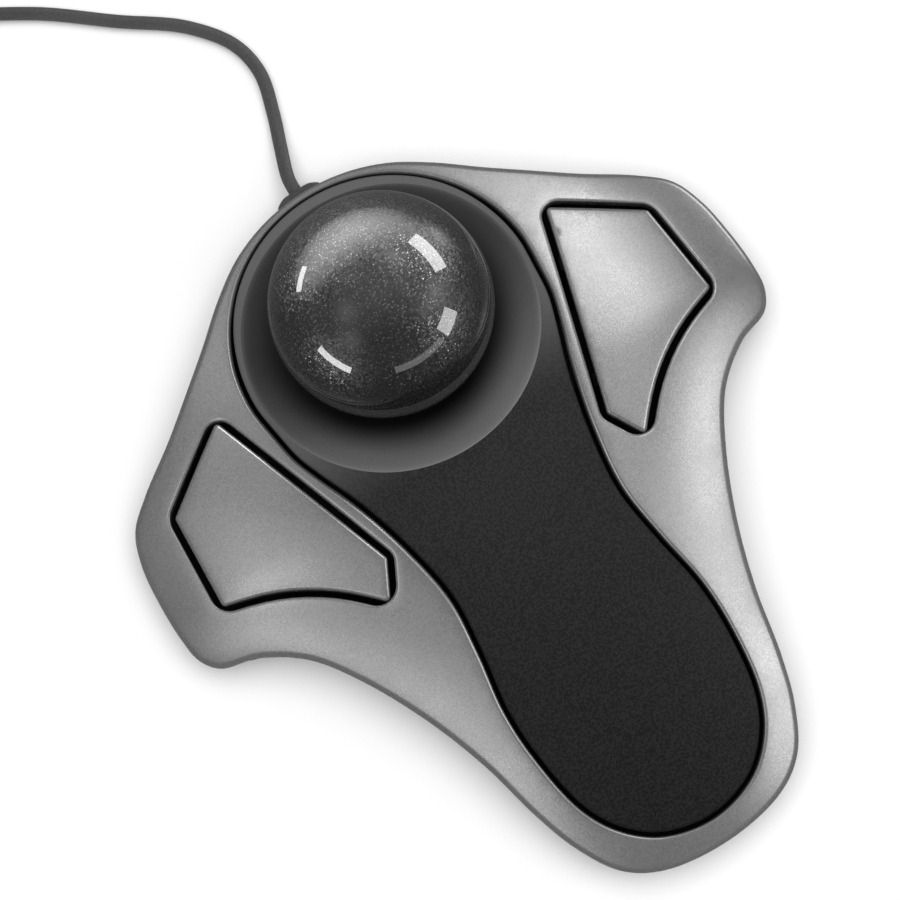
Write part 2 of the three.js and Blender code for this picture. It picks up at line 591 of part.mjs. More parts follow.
// Where the cable lies on the desk.
const DESK_RUN = [[4.9, 87], [7.2, 95], [6.4, 102.5], [1, 110.5], [-9, 118.5], [-22, 128.5]];

function makeCable() {
  const profile = new THREE.Shape().absarc(0, 0, CABLE_R, 0, 2 * Math.PI);
  const geometry = new THREE.ExtrudeGeometry(profile, { steps: 64, curveSegments: 5, extrudePath: cablePath() });
  return piece('cable', solidOf(geometry), MATERIAL.cableGrey);
}

function makePlug() {
  const grip = prism(roundedLoop([
    { at: new THREE.Vector2(0, -7.6), radius: 1.6 }, { at: new THREE.Vector2(24, -7.6), radius: 0.8 },
    { at: new THREE.Vector2(24, 7.6), radius: 0.8 }, { at: new THREE.Vector2(0, 7.6), radius: 1.6 },
  ]), -4, 4);
  const relief = rodBetween(new THREE.Vector3(-9, 0, 0), new THREE.Vector3(1, 0, 0), 2.6, 16);
  const cableBore = rodBetween(new THREE.Vector3(-12, 0, 0), new THREE.Vector3(4, 0, 0), CABLE_R + CLEAR, 16);
  const socket = box(24, 0, -2.55, 12, 12.6, 2.55);
  const shell = box(26.5, 0, -2.25, 16.5, 12, 2.25).subtract(box(27.2, 0, -1.9, 16.5, 11.4, 1.9));
  const tongue = box(26.8, 0, 0.1, 15.1, 10.8, 1.6);
  const contacts = [-3.5, -1, 1, 3.5].map((y, i) =>
    piece(`usb_contact_${i + 1}`, plugFrame(box(29.4, y, -0.45, 7.2, 1.1, -0.2)), MATERIAL.gold));
  return [
    piece('usb_grip', plugFrame(cut(grip.add(relief), [cableBore, socket])), MATERIAL.blackPlastic),
    piece('usb_shell', plugFrame(shell), MATERIAL.steel),
    piece('usb_tongue', plugFrame(tongue), MATERIAL.whitePlastic),
    ...contacts,
  ];
}

// ---- assembly ------------------------------------------------------------------------------
const sides = { left: -1, right: 1 };
const perSide = Object.entries(sides).flatMap(([word, side]) => [
  makeButton(`${word}_button`, side),
  makeHingePin(`${word}_hinge_pin`, side),
  makeSwitchBase(`${word}_switch_base`, side),
  makeSwitchCover(`${word}_switch_cover`, side),
  makePlunger(`${word}_switch_plunger`, side),
]);

const trackball = new THREE.Group();
trackball.name = 'trackball_mouse';
trackball.add(
  makeTopShell(),
  makePalmRest(),
  makeBasePlate(),
  makeBall(),
  makeBallCup(),
  ...Object.keys(BEARINGS).map(makeBearing),
  ...perSide,
  makeMainBoard(),
  ...makeBoardParts(),
  ...makeSensorParts(),
  makeSensorRibbon(),
  makeGrommet(),
  makeCable(),
  ...makePlug(),
  ...Object.keys(FEET).map(makeFoot),
  makeLabel(),
  ...CASE_SCREWS.map((at, i) => makeCaseScrew(`case_screw_${i + 1}`, at)),
  ...BOARD_SCREWS.map((at, i) => makeBoardScrew(`board_screw_${i + 1}`, at)),
);

export default trackball;
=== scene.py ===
"""Looks of the trackball mouse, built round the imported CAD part.

Lengths are millimetres until a mesh is made. +Y is the front (the cable side), +X the right, and the desk is
z = 0.
"""

import json
import math

import bpy
import numpy as np
from mathutils import Matrix, Vector
from mathutils.geometry import delaunay_2d_cdt


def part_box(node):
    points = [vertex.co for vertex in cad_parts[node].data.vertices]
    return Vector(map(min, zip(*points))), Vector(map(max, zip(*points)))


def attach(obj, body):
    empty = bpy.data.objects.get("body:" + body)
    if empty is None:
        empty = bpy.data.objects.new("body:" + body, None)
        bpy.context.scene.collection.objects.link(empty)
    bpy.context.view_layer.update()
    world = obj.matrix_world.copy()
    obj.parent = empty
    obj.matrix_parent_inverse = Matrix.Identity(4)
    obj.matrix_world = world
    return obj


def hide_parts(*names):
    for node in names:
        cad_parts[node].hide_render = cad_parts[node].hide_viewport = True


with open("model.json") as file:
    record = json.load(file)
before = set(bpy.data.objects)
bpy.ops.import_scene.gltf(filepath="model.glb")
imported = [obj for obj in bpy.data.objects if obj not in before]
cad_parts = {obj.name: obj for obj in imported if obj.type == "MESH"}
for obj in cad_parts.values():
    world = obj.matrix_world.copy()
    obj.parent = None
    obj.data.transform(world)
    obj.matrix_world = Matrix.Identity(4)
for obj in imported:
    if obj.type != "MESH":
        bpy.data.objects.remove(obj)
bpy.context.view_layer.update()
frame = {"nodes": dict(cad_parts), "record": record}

MM = 0.001


def cad_box(node):
    """Lowest and highest corner of a CAD node, in millimetres."""
    low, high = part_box(node)
    return np.array(low) / MM, np.array(high) / MM


# ---- driving sizes ----
BALL_LOW, BALL_HIGH = cad_box("ball")
BALL = (BALL_LOW + BALL_HIGH) / 2
BALL_R = (BALL_HIGH[2] - BALL_LOW[2]) / 2
SHELL_BOTTOM = cad_box("top_shell")[0][2]
PIN_Z = sum(corner[2] for corner in cad_box("left_hinge_pin")) / 2
GROMMET_LOW, GROMMET_HIGH = cad_box("cable_grommet")
WALL = 2.2
GAP = 0.6  # half of the gap round a button
PALM_GAP = 0.4  # half of the gap round the palm rest
NOSE_GAP = 0.2  # which narrows to this towards the nose
NOSE_FADE = (46, 60)  # between these distances forward
SHARP = math.radians(38)  # edges that bend by more than this stay sharp

# The top surface falls from its crown with the square of the distance, lengthwise and to the sides.
CROWN_Z = 23.0
CROWN_Y = 1.5
ARCH_FALL = 0.0025
SIDE_FALL = 0.0022
REAR_SIDE_FALL = 0.006  # added to the fall to the sides at the rear
REAR_FADE = (-16.5, 38.5)  # it comes in between these distances to the rear
TIP_FALL = 4.2e-7  # and the wings' tips fall with the fourth power

# Right half of the body's plan and of the gap round the palm rest, front to rear. An arc is its centre's y,
# its radii across and along, its first and last angle in degrees and its number of knots.
NOSE_ARC = (33.7, 35.9, 35.9, 90, 50, 4)
BODY_SIDE = [
    (30.2, 55.3), (35.8, 51.0), (44.5, 44.6), (53.3, 39.0), (58.5, 34.7), (60.9, 28.8),
    (61.9, 21.4), (62.1, 14.2), (61.5, 9.0), (59.0, 5.5), (52.2, 3.0), (44.8, -2.4),
    (39.0, -10.8), (33.1, -23.2), (29.0, -35.5), (26.3, -47.7), (23.5, -56.4), (18.9, -64.2),
    (12.5, -68.3), (0.0, -70.2),
]
HEAD_ARC = (39.5, 28.4, 28.6, 90, -12, 8)
PALM_SIDE = [
    (27.0, 28.2), (25.4, 23.3), (22.5, 15.5), (19.4, 4.0), (17.7, -7.8), (18.8, -18.5),
    (20.6, -29.5), (20.6, -38.8), (18.7, -50.9), (15.1, -57.8), (9.2, -62.8), (0.0, -65.0),
]
SPAN_STEPS = 9  # points between two knots

# Corners of the right button's gap line. The rear side is a shallow hollow.
BUTTON_FRONT = np.array((35.1, 43.3))
BUTTON_INNER = np.array((22.7, 4.4))
BUTTON_INNER_REAR = np.array((27.0, -3.4))
BUTTON_OUTER_REAR = np.array((53.1, 13.6))
BUTTON_OUTER_FRONT = np.array((51.65, 32.5))
HOLLOW_DEPTH = 4.0
HOLLOW_R = 42.0
BUTTON_RADII = (2.4, 2.4, 2.8, HOLLOW_R, 3.2, 3.2)
HOLLOW = 3  # the hollow's place among the corners
SHARPEST_R = 0.8
CORNER_STEPS = 8
SIDE_STEPS = 14


# ---- small geometry helpers ----
def unit(vector):
    return vector / np.linalg.norm(vector)


def smoothstep(value, low, high):
    t = np.clip((value - low) / (high - low), 0, 1)
    return t * t * (3 - 2 * t)


def curve_points(knots, per_span, closed):
    """Points of a centripetal Catmull-Rom curve through the knots."""
    knots = np.array(knots, float)
    if closed:
        padded = np.vstack([knots[-1:], knots, knots[:2]])
    else:
        padded = np.vstack([2 * knots[0] - knots[1], knots, 2 * knots[-1] - knots[-2]])
    t = (np.arange(per_span) / per_span)[:, None]
    points = []
    for p0, p1, p2, p3 in zip(padded, padded[1:], padded[2:], padded[3:]):
        d0, d1, d2 = (np.linalg.norm(b - a) ** 0.5 for a, b in ((p0, p1), (p1, p2), (p2, p3)))
        start = ((p1 - p0) / d0 - (p2 - p0) / (d0 + d1) + (p2 - p1) / d1) * d1
        end = ((p2 - p1) / d1 - (p3 - p1) / (d1 + d2) + (p3 - p2) / d2) * d1
        points.append(
            p1 + start * t + (3 * (p2 - p1) - 2 * start - end) * t**2 + (2 * (p1 - p2) + start + end) * t**3
        )
    if not closed:
        points.append(knots[-1:])
    return np.vstack(points)


def arc_knots(centre_y, radius_x, radius_y, from_degrees, to_degrees, count):
    angles = np.radians(np.linspace(from_degrees, to_degrees, count))
    return [(radius_x * math.cos(a), centre_y + radius_y * math.sin(a)) for a in angles]


def mirrored_loop(right_half, per_span):
    """A counter-clockwise closed curve, the same on both sides."""
    left_half = [(-x, y) for x, y in reversed(right_half[1:-1])]
    return curve_points(right_half + left_half, per_span, True)[::-1]


def outward(loop):
    """Unit normals of a counter-clockwise loop, pointing out of it."""
    along = np.roll(loop, -1, axis=0) - np.roll(loop, 1, axis=0)
    along /= np.linalg.norm(along, axis=1)[:, None]
    return np.stack([along[:, 1], -along[:, 0]], axis=1)


def moved(loop, distance):
    """The loop moved out by the distance, which may differ from point to point."""
    return loop + outward(loop) * np.reshape(distance, (-1, 1))


def even(values, passes=6):
    """Smooths a ring of numbers."""
    for _ in range(passes):
        values = (np.roll(values, 1) + 2 * values + np.roll(values, -1)) / 4
    return values


def clearance(points, loops):
    """Distance from each point to the nearest of the loops' points."""
    others = np.vstack(loops)
    return np.array([np.sqrt(((others - p) ** 2).sum(1).min()) for p in points])


def inside(points, loop):
    """Which points lie inside a closed loop."""
    x, y = points[:, 0][:, None], points[:, 1][:, None]
    x0, y0 = loop[:, 0], loop[:, 1]
    x1, y1 = np.roll(x0, -1), np.roll(y0, -1)
    crosses = (y0 > y) != (y1 > y)
    rise = np.where(y1 == y0, 1, y1 - y0)
    return (crosses & (x < (x1 - x0) * (y - y0) / rise + x0)).sum(1) % 2 == 1


def inset_polygon(corners, inset):
    """Corners of a counter-clockwise polygon with every side moved in by the inset."""
    moved_in = []
    for i, at in enumerate(corners):
        before = unit(at - corners[i - 1])
        after = unit(corners[(i + 1) % len(corners)] - at)
        normals = np.array([(-before[1], before[0]), (-after[1], after[0])])
        moved_in.append(at + np.linalg.solve(normals, (inset, inset)))
    return moved_in


def rounded_loop(corners, radii):
    """A closed loop with round corners. Every corner and every side has a fixed number of points."""
    arcs = []
    for i, (at, radius) in enumerate(zip(corners, radii)):
        to_last = unit(corners[i - 1] - at)
        to_next = unit(corners[(i + 1) % len(corners)] - at)
        half = math.acos(np.clip(to_last @ to_next, -1, 1)) / 2
        centre = at + unit(to_last + to_next) * radius / math.sin(half)
        first = at + to_last * radius / math.tan(half) - centre
        bend = to_last[1] * to_next[0] - to_last[0] * to_next[1]
        turn = (math.pi - 2 * half) * math.copysign(1, bend)
        for angle in np.linspace(0, turn, CORNER_STEPS + 1):
            c, s = math.cos(angle), math.sin(angle)
            arcs.append(centre + (c * first[0] - s * first[1], s * first[0] + c * first[1]))
        arcs.append(None)
    return with_side_points(arcs)


def with_side_points(arcs):
    """Puts evenly spaced points on the straight sides, which are marked None."""
    points = []
    for i, item in enumerate(arcs):
        if item is not None:
            points.append(item)
            continue
        start, end = arcs[i - 1], arcs[(i + 1) % len(arcs)]
        points.extend(start + (end - start) * k / SIDE_STEPS for k in range(1, SIDE_STEPS))
    return np.array(points)


# ---- the body's outer form ----
def top_height(x, y):
    """Height of the body's top surface: a long low arch that falls away to both sides."""
    rear = smoothstep(-y, *REAR_FADE)
    side_fall = (SIDE_FALL + REAR_SIDE_FALL * rear) * x**2 + TIP_FALL * x**4
    return CROWN_Z - ARCH_FALL * (y - CROWN_Y) ** 2 - side_fall


def top_at(plan):
    return top_height(plan[:, 0], plan[:, 1])


def under_at(plan):
    """Height of the underside of the shell's and the palm rest's plates."""
    return top_at(plan) - WALL


BODY = mirrored_loop(arc_knots(*NOSE_ARC) + BODY_SIDE, SPAN_STEPS)
PALM = mirrored_loop(arc_knots(*HEAD_ARC) + PALM_SIDE, SPAN_STEPS)


def palm_gap():
    """Half of the gap round the palm rest at each point of its loop."""
    return PALM_GAP + (NOSE_GAP - PALM_GAP) * smoothstep(PALM[:, 1], *NOSE_FADE)


def button_loop(inset, corner_scale):
    """Plan of the right button's edge, moved in from the gap line by the inset."""
    rear_side = BUTTON_INNER_REAR - BUTTON_OUTER_REAR
    hollow = BUTTON_OUTER_REAR + rear_side / 2 + unit(np.array((rear_side[1], -rear_side[0]))) * HOLLOW_DEPTH
    corners = [
        BUTTON_FRONT, BUTTON_INNER, BUTTON_INNER_REAR, hollow, BUTTON_OUTER_REAR, BUTTON_OUTER_FRONT,
    ]
    radii = np.array(BUTTON_RADII) * corner_scale - inset
    radii[HOLLOW] = HOLLOW_R + inset
    return rounded_loop(inset_polygon(corners, inset), np.maximum(radii, SHARPEST_R))


def flipped(loop):
    """The loop on the other side of the body, still counter-clockwise."""
    return (loop * (-1, 1))[::-1]


# ---- closed skins ----
class Skin:
    """The points and faces of one closed mesh, made of rings joined by bands."""

    def __init__(self):
        self.points = []
        self.faces = []

    def ring(self, points):
        start = len(self.points)
        self.points.extend(np.asarray(points, float))
        return list(range(start, len(self.points)))

    def band(self, low, high):
        """Quads between two rings of a counter-clockwise loop, seen from outside when high is above low."""
        count = len(low)
        for i in range(count):
            j = (i + 1) % count
            self.faces.append((low[i], low[j], high[j], high[i]))

    def bands(self, rings):
        for low, high in zip(rings, rings[1:]):
            self.band(low, high)

    def cap(self, ring, centre, down=False):
        """Closes a ring with a fan about a middle point."""
        middle = self.ring([centre])[0]
        for i, a in enumerate(ring):
            b = ring[(i + 1) % len(ring)]
            self.faces.append((b, a, middle) if down else (a, b, middle))

    def mesh(self, name, scale=MM):
        data = bpy.data.meshes.new(name)
        data.from_pydata([tuple(p * scale) for p in self.points], [], self.faces)
        data.validate()
        data.shade_smooth()
        data.set_sharp_from_angle(angle=SHARP)
        made = bpy.data.objects.new(name, data)
        bpy.context.scene.collection.objects.link(made)
        return made


def hex_points(loop, spacing):
    """Staggered rows of points over the loop's whole extent."""
    low, high = loop.min(0), loop.max(0)
    rows = np.arange(low[1], high[1], spacing * math.sqrt(3) / 2)
    columns = np.arange(low[0], high[0], spacing)
    return np.array([(x + (i % 2) * spacing / 2, y) for i, y in enumerate(rows) for x in columns])


GRID_ROOM = 0.62  # a cover's inner points keep this share of their spacing away from its rings
MERGE = 1e-6
TOP_SPACING = 1.5
UNDER_SPACING = 2.4


def cover(skin, outer, holes, height, spacing, down=False):
    """Fills the plan area between the outer ring and the hole rings, at the given height.

    Each ring is a list of point numbers of the skin.
    """
    rings = [outer] + holes
    plans = [np.array([skin.points[i][:2] for i in ring]) for ring in rings]
    grid = hex_points(plans[0], spacing)
    keep = inside(grid, plans[0])
    for plan in plans[1:]:
        keep &= ~inside(grid, plan)
    grid = grid[keep]
    grid = grid[clearance(grid, plans) > GRID_ROOM * spacing]
    numbers = [i for ring in rings for i in ring]
    numbers += skin.ring(np.column_stack([grid, height(grid)]))
    edges, start = [], 0
    for ring in rings:
        edges += [(start + i, start + (i + 1) % len(ring)) for i in range(len(ring))]
        start += len(ring)
    plan = [Vector(p) for p in np.vstack(plans + [grid])]
    vertices, _, triangles, origins, _, _ = delaunay_2d_cdt(plan, edges, [], 0, MERGE)
    source = [numbers[origin[0]] for origin in origins]
    flat = np.array([tuple(v) for v in vertices])
    for triangle in region(triangles, flat, plans, edges):
        corners = [source[i] for i in triangle]
        skin.faces.append(tuple(corners[::-1] if down else corners))


def region(triangles, flat, plans, edges):
    """The triangles that can be reached from a middle one without crossing a ring's edge."""
    walls = {frozenset(edge) for edge in edges}
    beside = {}
    for number, triangle in enumerate(triangles):
        for a, b in zip(triangle, triangle[1:] + triangle[:1]):
            beside.setdefault(frozenset((a, b)), []).append(number)
    corners = flat[np.array(triangles)]
    sides = corners[:, 1:] - corners[:, :1]
    area = sides[:, 0, 0] * sides[:, 1, 1] - sides[:, 0, 1] * sides[:, 1, 0]
    middles = corners.mean(1)
    fits = inside(middles, plans[0])
    for hole in plans[1:]:
        fits &= ~inside(middles, hole)
    reached = {int(np.argmax(np.where(fits, area, 0)))}
    waiting = list(reached)
    while waiting:
        triangle = triangles[waiting.pop()]
        for a, b in zip(triangle, triangle[1:] + triangle[:1]):
            edge = frozenset((a, b))
            if edge in walls:
                continue
            for neighbour in beside[edge]:
                if neighbour not in reached:
                    reached.add(neighbour)
                    waiting.append(neighbour)
    return [triangles[number] for number in sorted(reached)]


def rolled_edge(skin, loop, side, radius, height, steps):
    """Rings from the wall up over a rolled edge. side is -1 for an outer edge and 1 for a hole's edge."""
    rings = []
    for angle in np.linspace(0, math.pi / 2, steps + 1):
        plan = moved(loop, side * radius * (1 - math.cos(angle)))
        rings.append(skin.ring(np.column_stack([plan, height(plan) - radius * (1 - math.sin(angle))])))
    return rings


def ring_at(skin, plan, z):
    return skin.ring(np.column_stack([plan, np.broadcast_to(z, len(plan))]))


def walled_edge(skin, loop, side, radius, lip, low, height, steps=6, levels=3, tuck=0.0):
    """A rim: its rolled edge, the wall down to low, and the lip's inner wall up to the plate's underside.

    Returns the top skin's ring and the underside's ring.
    """
    roll = rolled_edge(skin, loop, side, radius, height, steps)
    top_of_wall = height(loop) - radius
    walls = []
    for share in np.arange(levels) / levels:
        walls.append(ring_at(skin, moved(loop, side * tuck * (1 - share)), low + (top_of_wall - low) * share))
    inner = moved(loop, side * lip)
    foot = ring_at(skin, inner, low)
    roof = ring_at(skin, inner, height(inner) - WALL)
    rings = [roof, foot] + walls + roll
    if side > 0:
        rings = rings[::-1]
    skin.bands(rings)
    return roll[-1], roof


# ---- outer pieces ----
EDGE_ROLL = 1.1
TUCK = 1.3  # the outer wall leans in by this much at its foot
PALM_HOLE_ROLL = 0.85
WINDOW_ROLL = 0.6
SHELL_LIP = 0.9
LIP_DEPTH = 3.4
CABLE_DOOR = (3.9, 60)  # the outer wall is cut short this near to the middle and this far forward
CABLE_DOOR_GAP = 0.1

# Where two rims come close, each takes at most these shares of the room between them.
ROLL_SHARE = 0.42
WALL_SHARE = 0.45
LIP_SHARE = 0.42
HOLE_ROLL_SHARE = 0.38


def make_top_shell():
    """The silver shell, with a hole for the palm rest and a window for each button."""
    skin = Skin()
    palm_hole = moved(PALM, palm_gap())
    window = button_loop(-GAP, 1.0)
    holes = [palm_hole, window, flipped(window)]
    loops = [BODY] + holes

    def room(index):
        return clearance(loops[index], [loop for i, loop in enumerate(loops) if i != index])

    roll = np.minimum(EDGE_ROLL, ROLL_SHARE * room(0))
    wall = even(np.minimum(WALL, WALL_SHARE * room(0)))
    at_cable = (np.abs(BODY[:, 0]) < CABLE_DOOR[0]) & (BODY[:, 1] > CABLE_DOOR[1])
    low = np.where(at_cable, GROMMET_HIGH[2] + CABLE_DOOR_GAP, SHELL_BOTTOM)
    top, roof = walled_edge(skin, BODY, -1, even(roll), wall, low, top_at, steps=8, levels=4, tuck=TUCK)
    tops, roofs = [], []
    for index, (hole, hole_roll) in enumerate(zip(holes, (PALM_HOLE_ROLL, WINDOW_ROLL, WINDOW_ROLL)), 1):
        lip = even(np.minimum(SHELL_LIP, LIP_SHARE * room(index)))
        roll = even(np.minimum(hole_roll, HOLE_ROLL_SHARE * room(index)))
        hole_top, hole_roof = walled_edge(skin, hole, 1, roll, lip, top_at(hole) - LIP_DEPTH, top_at)
        tops.append(hole_top)
        roofs.append(hole_roof)
    cover(skin, top, tops, top_at, TOP_SPACING)
    cover(skin, roof, roofs, under_at, UNDER_SPACING, down=True)
    return skin.mesh("shell_silver")


KEY_ROLL = 0.7
KEY_LIP = 1.3
KEY_WALL = WALL - 0.3
KEY_CORNERS = (0.45, 0.6)  # the button's corners shrink by these factors at its outer and inner wall
KEY_DEPTH = 2.3
KEY_OUTER_DEPTH = 1.0  # added to the depth away from the hinge
KEY_FADE = (2, 8)  # between these distances from it
KEY_SPACING = 1.3
HINGE_ALONG = unit(BUTTON_FRONT - BUTTON_INNER)
HINGE_OUT = np.array((HINGE_ALONG[1], -HINGE_ALONG[0]))
HINGE_SHARE = 0.45  # place of the hinge's middle along the inner side
HINGE_INSET = 2.4
HINGE_MIDDLE = BUTTON_INNER + (BUTTON_FRONT - BUTTON_INNER) * HINGE_SHARE + HINGE_OUT * HINGE_INSET
HINGE_BLOCK_AT = 7.5
HINGE_BLOCK = (1.5, 1.6)  # half length and half width
HINGE_BLOCK_DROP = 2  # below the pin's middle
SWITCH_ARM = 8.3
SWITCH_BLOCK = (3.0, 0.8)
SWITCH_REST = 0.3  # gap between the block and the switch's plunger
BLOCK_SINK = 1.2  # the blocks end this far below the key's top


def add_block(skin, middle, along, half_sizes, low):
    """A block from the underside of a key down to low, turned to the hinge line."""
    across = np.array((along[1], -along[0])) * half_sizes[1]
    ahead = along * half_sizes[0]
    plan = np.array([middle + ahead * a + across * b for a, b in ((-1, 1), (1, 1), (1, -1), (-1, -1))])
    if np.cross(plan[1] - plan[0], plan[2] - plan[1]) < 0:
        plan = plan[::-1]
    rings = [ring_at(skin, plan, low), ring_at(skin, plan, top_height(*middle) - BLOCK_SINK)]
    skin.bands(rings)
    skin.faces.append(tuple(rings[0][::-1]))
    skin.faces.append(tuple(rings[1]))


def second_material(piece, first_face, last_face):
    """Gives a run of the piece's faces its second material."""
    for polygon in piece.data.polygons[first_face:last_face]:
        polygon.material_index = 1


def key_under_at(plan):
    return top_at(plan) - KEY_WALL


def make_key(name, mirror):
    """A wing button with the two blocks that hold its pin and the one that presses its switch."""
    skin = Skin()
    edge = button_loop(GAP, KEY_CORNERS[0])
    inner = button_loop(GAP + KEY_LIP, KEY_CORNERS[1])
    if mirror:
        edge, inner = flipped(edge), flipped(inner)
    flip = np.array((-1, 1)) if mirror else np.array((1, 1))
    middle, along, out = HINGE_MIDDLE * flip, HINGE_ALONG * flip, HINGE_OUT * flip
    from_hinge = (edge - middle) @ out
    depth = KEY_DEPTH + KEY_OUTER_DEPTH * smoothstep(from_hinge, *KEY_FADE)
    low = top_at(edge) - depth
    roll = rolled_edge(skin, edge, -1, np.full(len(edge), KEY_ROLL), top_at, 5)
    top_of_wall = top_at(edge) - KEY_ROLL
    walls = [ring_at(skin, edge, low + (top_of_wall - low) * k / 3) for k in range(3)]
    foot = ring_at(skin, inner, low)
    roof = ring_at(skin, inner, key_under_at(inner))
    skin.bands([roof, foot] + walls + roll)
    cover(skin, roll[-1], [], top_at, KEY_SPACING)
    cover(skin, roof, [], key_under_at, UNDER_SPACING, down=True)
    first_block_face = len(skin.faces)
    for station in (-HINGE_BLOCK_AT, HINGE_BLOCK_AT):
        at = middle + along * station
        add_block(skin, at, along, HINGE_BLOCK, PIN_Z - HINGE_BLOCK_DROP)
    at = middle + out * SWITCH_ARM
    add_block(skin, at, along, SWITCH_BLOCK, cad_box("right_switch_plunger")[1][2] + SWITCH_REST)
    made = skin.mesh(name)
    second_material(made, first_block_face, len(skin.faces))
    return made


# The dish is a surface of revolution about a leaning axis through the ball's centre.
DISH_TILT = 0.187  # radians forward
DISH_MOUTH = 15.2  # radius where the palm rest's dish ends and the ball cup begins
MOUTH_DEPTH = -17.7
DISH_SLOPE = 0.288  # rise per millimetre at the mouth
DISH_CURVE = 0.0137
RIM_RANGE = (20.0, 32.0)
HALVINGS = 40
DISH_UP = np.array((0, math.sin(DISH_TILT), math.cos(DISH_TILT)))
DISH_FORWARD = np.array((0, math.cos(DISH_TILT), -math.sin(DISH_TILT)))


def dish_depth(radius):
    """Height of the dish relative to the ball's centre, along the leaning axis."""
    beyond = radius - DISH_MOUTH
    return MOUTH_DEPTH + DISH_SLOPE * beyond + DISH_CURVE * beyond**2


def dish_point(azimuth, radius, depth):
    """Points at the given angles, distances from the axis and heights along it."""
    side = np.stack([radius * np.cos(azimuth), 0 * azimuth, 0 * azimuth], axis=-1)
    ahead = (radius * np.sin(azimuth))[..., None] * DISH_FORWARD
    return BALL + side + ahead + np.reshape(depth, (-1, 1)) * DISH_UP


def dish_rim(azimuth):
    """Radius at which the dish meets the body's top surface, by halving the interval."""
    low = np.full(len(azimuth), RIM_RANGE[0])
    high = np.full(len(azimuth), RIM_RANGE[1])
    for _ in range(HALVINGS):
        middle = (low + high) / 2
        p = dish_point(azimuth, middle, dish_depth(middle))
        below = p[:, 2] < top_height(p[:, 0], p[:, 1])
        low = np.where(below, middle, low)
        high = np.where(below, high, middle)
    return (low + high) / 2


PALM_ROLL = 0.5
PALM_LIP = 1.5
PALM_SKIRT = 2.2  # depth of the lip below the plate
CREASE_R = 0.3
CREASE_DEPTH = 0.1
DISH_SIDES = 160
DISH_WALL = 1.9
DISH_SHARES = [0.03, *np.linspace(0.1, 1, 14)]  # places of the dish's rings between its rim and its mouth
UNDER_SHARES = np.linspace(1, 0, 8)
UNDER_MARGIN = 0.5


def make_palm_rest():
    """The dark palm rest in one piece with the dish round the ball."""
    skin = Skin()
    edge = moved(PALM, -palm_gap())
    azimuth = np.linspace(0, 2 * math.pi, DISH_SIDES, endpoint=False)
    rim = dish_rim(azimuth)
    outside = dish_point(azimuth, rim, dish_depth(rim))[:, :2]
    lip = even(np.minimum(PALM_LIP, WALL_SHARE * clearance(edge, [outside])))
    foot = under_at(edge) - PALM_SKIRT
    top, roof = walled_edge(skin, edge, -1, np.full(len(edge), PALM_ROLL), lip, foot, top_at)
    crease_out = moved(outside, CREASE_R)
    rings = [ring_at(skin, crease_out, top_at(crease_out))]
    rings.append(skin.ring(dish_point(azimuth, rim, dish_depth(rim) - CREASE_DEPTH)))
    for share in DISH_SHARES:
        radius = rim + (DISH_MOUTH - rim) * share
        rings.append(skin.ring(dish_point(azimuth, radius, dish_depth(radius))))
    cover(skin, top, [rings[0]], top_at, TOP_SPACING)
    first_dish_face = len(skin.faces)
    under = []
    for share in UNDER_SHARES:
        radius = rim + (DISH_MOUTH - rim) * share
        under.append(skin.ring(dish_point(azimuth, radius, dish_depth(radius) - DISH_WALL)))
    beyond = moved(outside, UNDER_MARGIN)
    under.append(ring_at(skin, beyond, under_at(beyond)))
    skin.bands(rings + under)
    last_dish_face = len(skin.faces)
    cover(skin, roof, [under[-1]], under_at, UNDER_SPACING, down=True)
    made = skin.mesh("palm_rest_charcoal")
    second_material(made, first_dish_face, last_dish_face)
    return made


def quad_sphere(name, centre, radius, cells):
    """A sphere from a cube's six grids, pushed out to the radius."""
    skin = Skin()
    numbers = {}

    def number(key):
        if key not in numbers:
            angles = [math.tan((k / cells - 0.5) * math.pi / 2) for k in key]
            numbers[key] = skin.ring([centre + unit(np.array(angles)) * radius])[0]
        return numbers[key]

    for axis in range(3):
        for end in (0, cells):
            for i in range(cells):
                for j in range(cells):
                    corners = []
                    for a, b in ((i, j), (i + 1, j), (i + 1, j + 1), (i, j + 1)):
                        key = [a, b]
                        key.insert(axis, end)
                        corners.append(number(tuple(key)))
                    outwards = (end == cells) != (axis == 1)
                    skin.faces.append(tuple(corners if outwards else corners[::-1]))
    return skin.mesh(name)


# ---- base, feet, cable and plug ----
def stadium(node, steps=16):
    """Rounded-end plan that fills a CAD node's box."""
    low, high = cad_box(node)
    size = (high - low)[:2]
    middle = ((low + high) / 2)[:2]
    half = (max(size) - min(size)) / 2
    radius = min(size) / 2
    ends = []
    for side in (1, -1):
        for angle in np.linspace(-math.pi / 2, math.pi / 2, steps):
            ends.append((side * (half + radius * math.cos(angle)), side * radius * math.sin(angle)))
    loop = np.array(ends)
    if size[1] > size[0]:
        loop = np.stack([-loop[:, 1], loop[:, 0]], axis=1)
    return loop + middle


FOOT_R = 0.35


def make_foot(node):
    """A low rubber pad with a rounded lower edge."""
    skin = Skin()
    low, high = cad_box(node)
    plan = stadium(node)
    rings = []
    for angle in np.linspace(0, math.pi / 2, 5):
        inset = FOOT_R * (1 - math.sin(angle))
        rings.append(ring_at(skin, moved(plan, -inset), low[2] + FOOT_R * (1 - math.cos(angle))))
    rings.append(ring_at(skin, plan, high[2]))
    skin.bands(rings)
    middle = (low + high) / 2
    skin.cap(rings[0], (middle[0], middle[1], low[2]), down=True)
    skin.cap(rings[-1], (middle[0], middle[1], high[2]))
    return skin.mesh(f"{node}_pad")


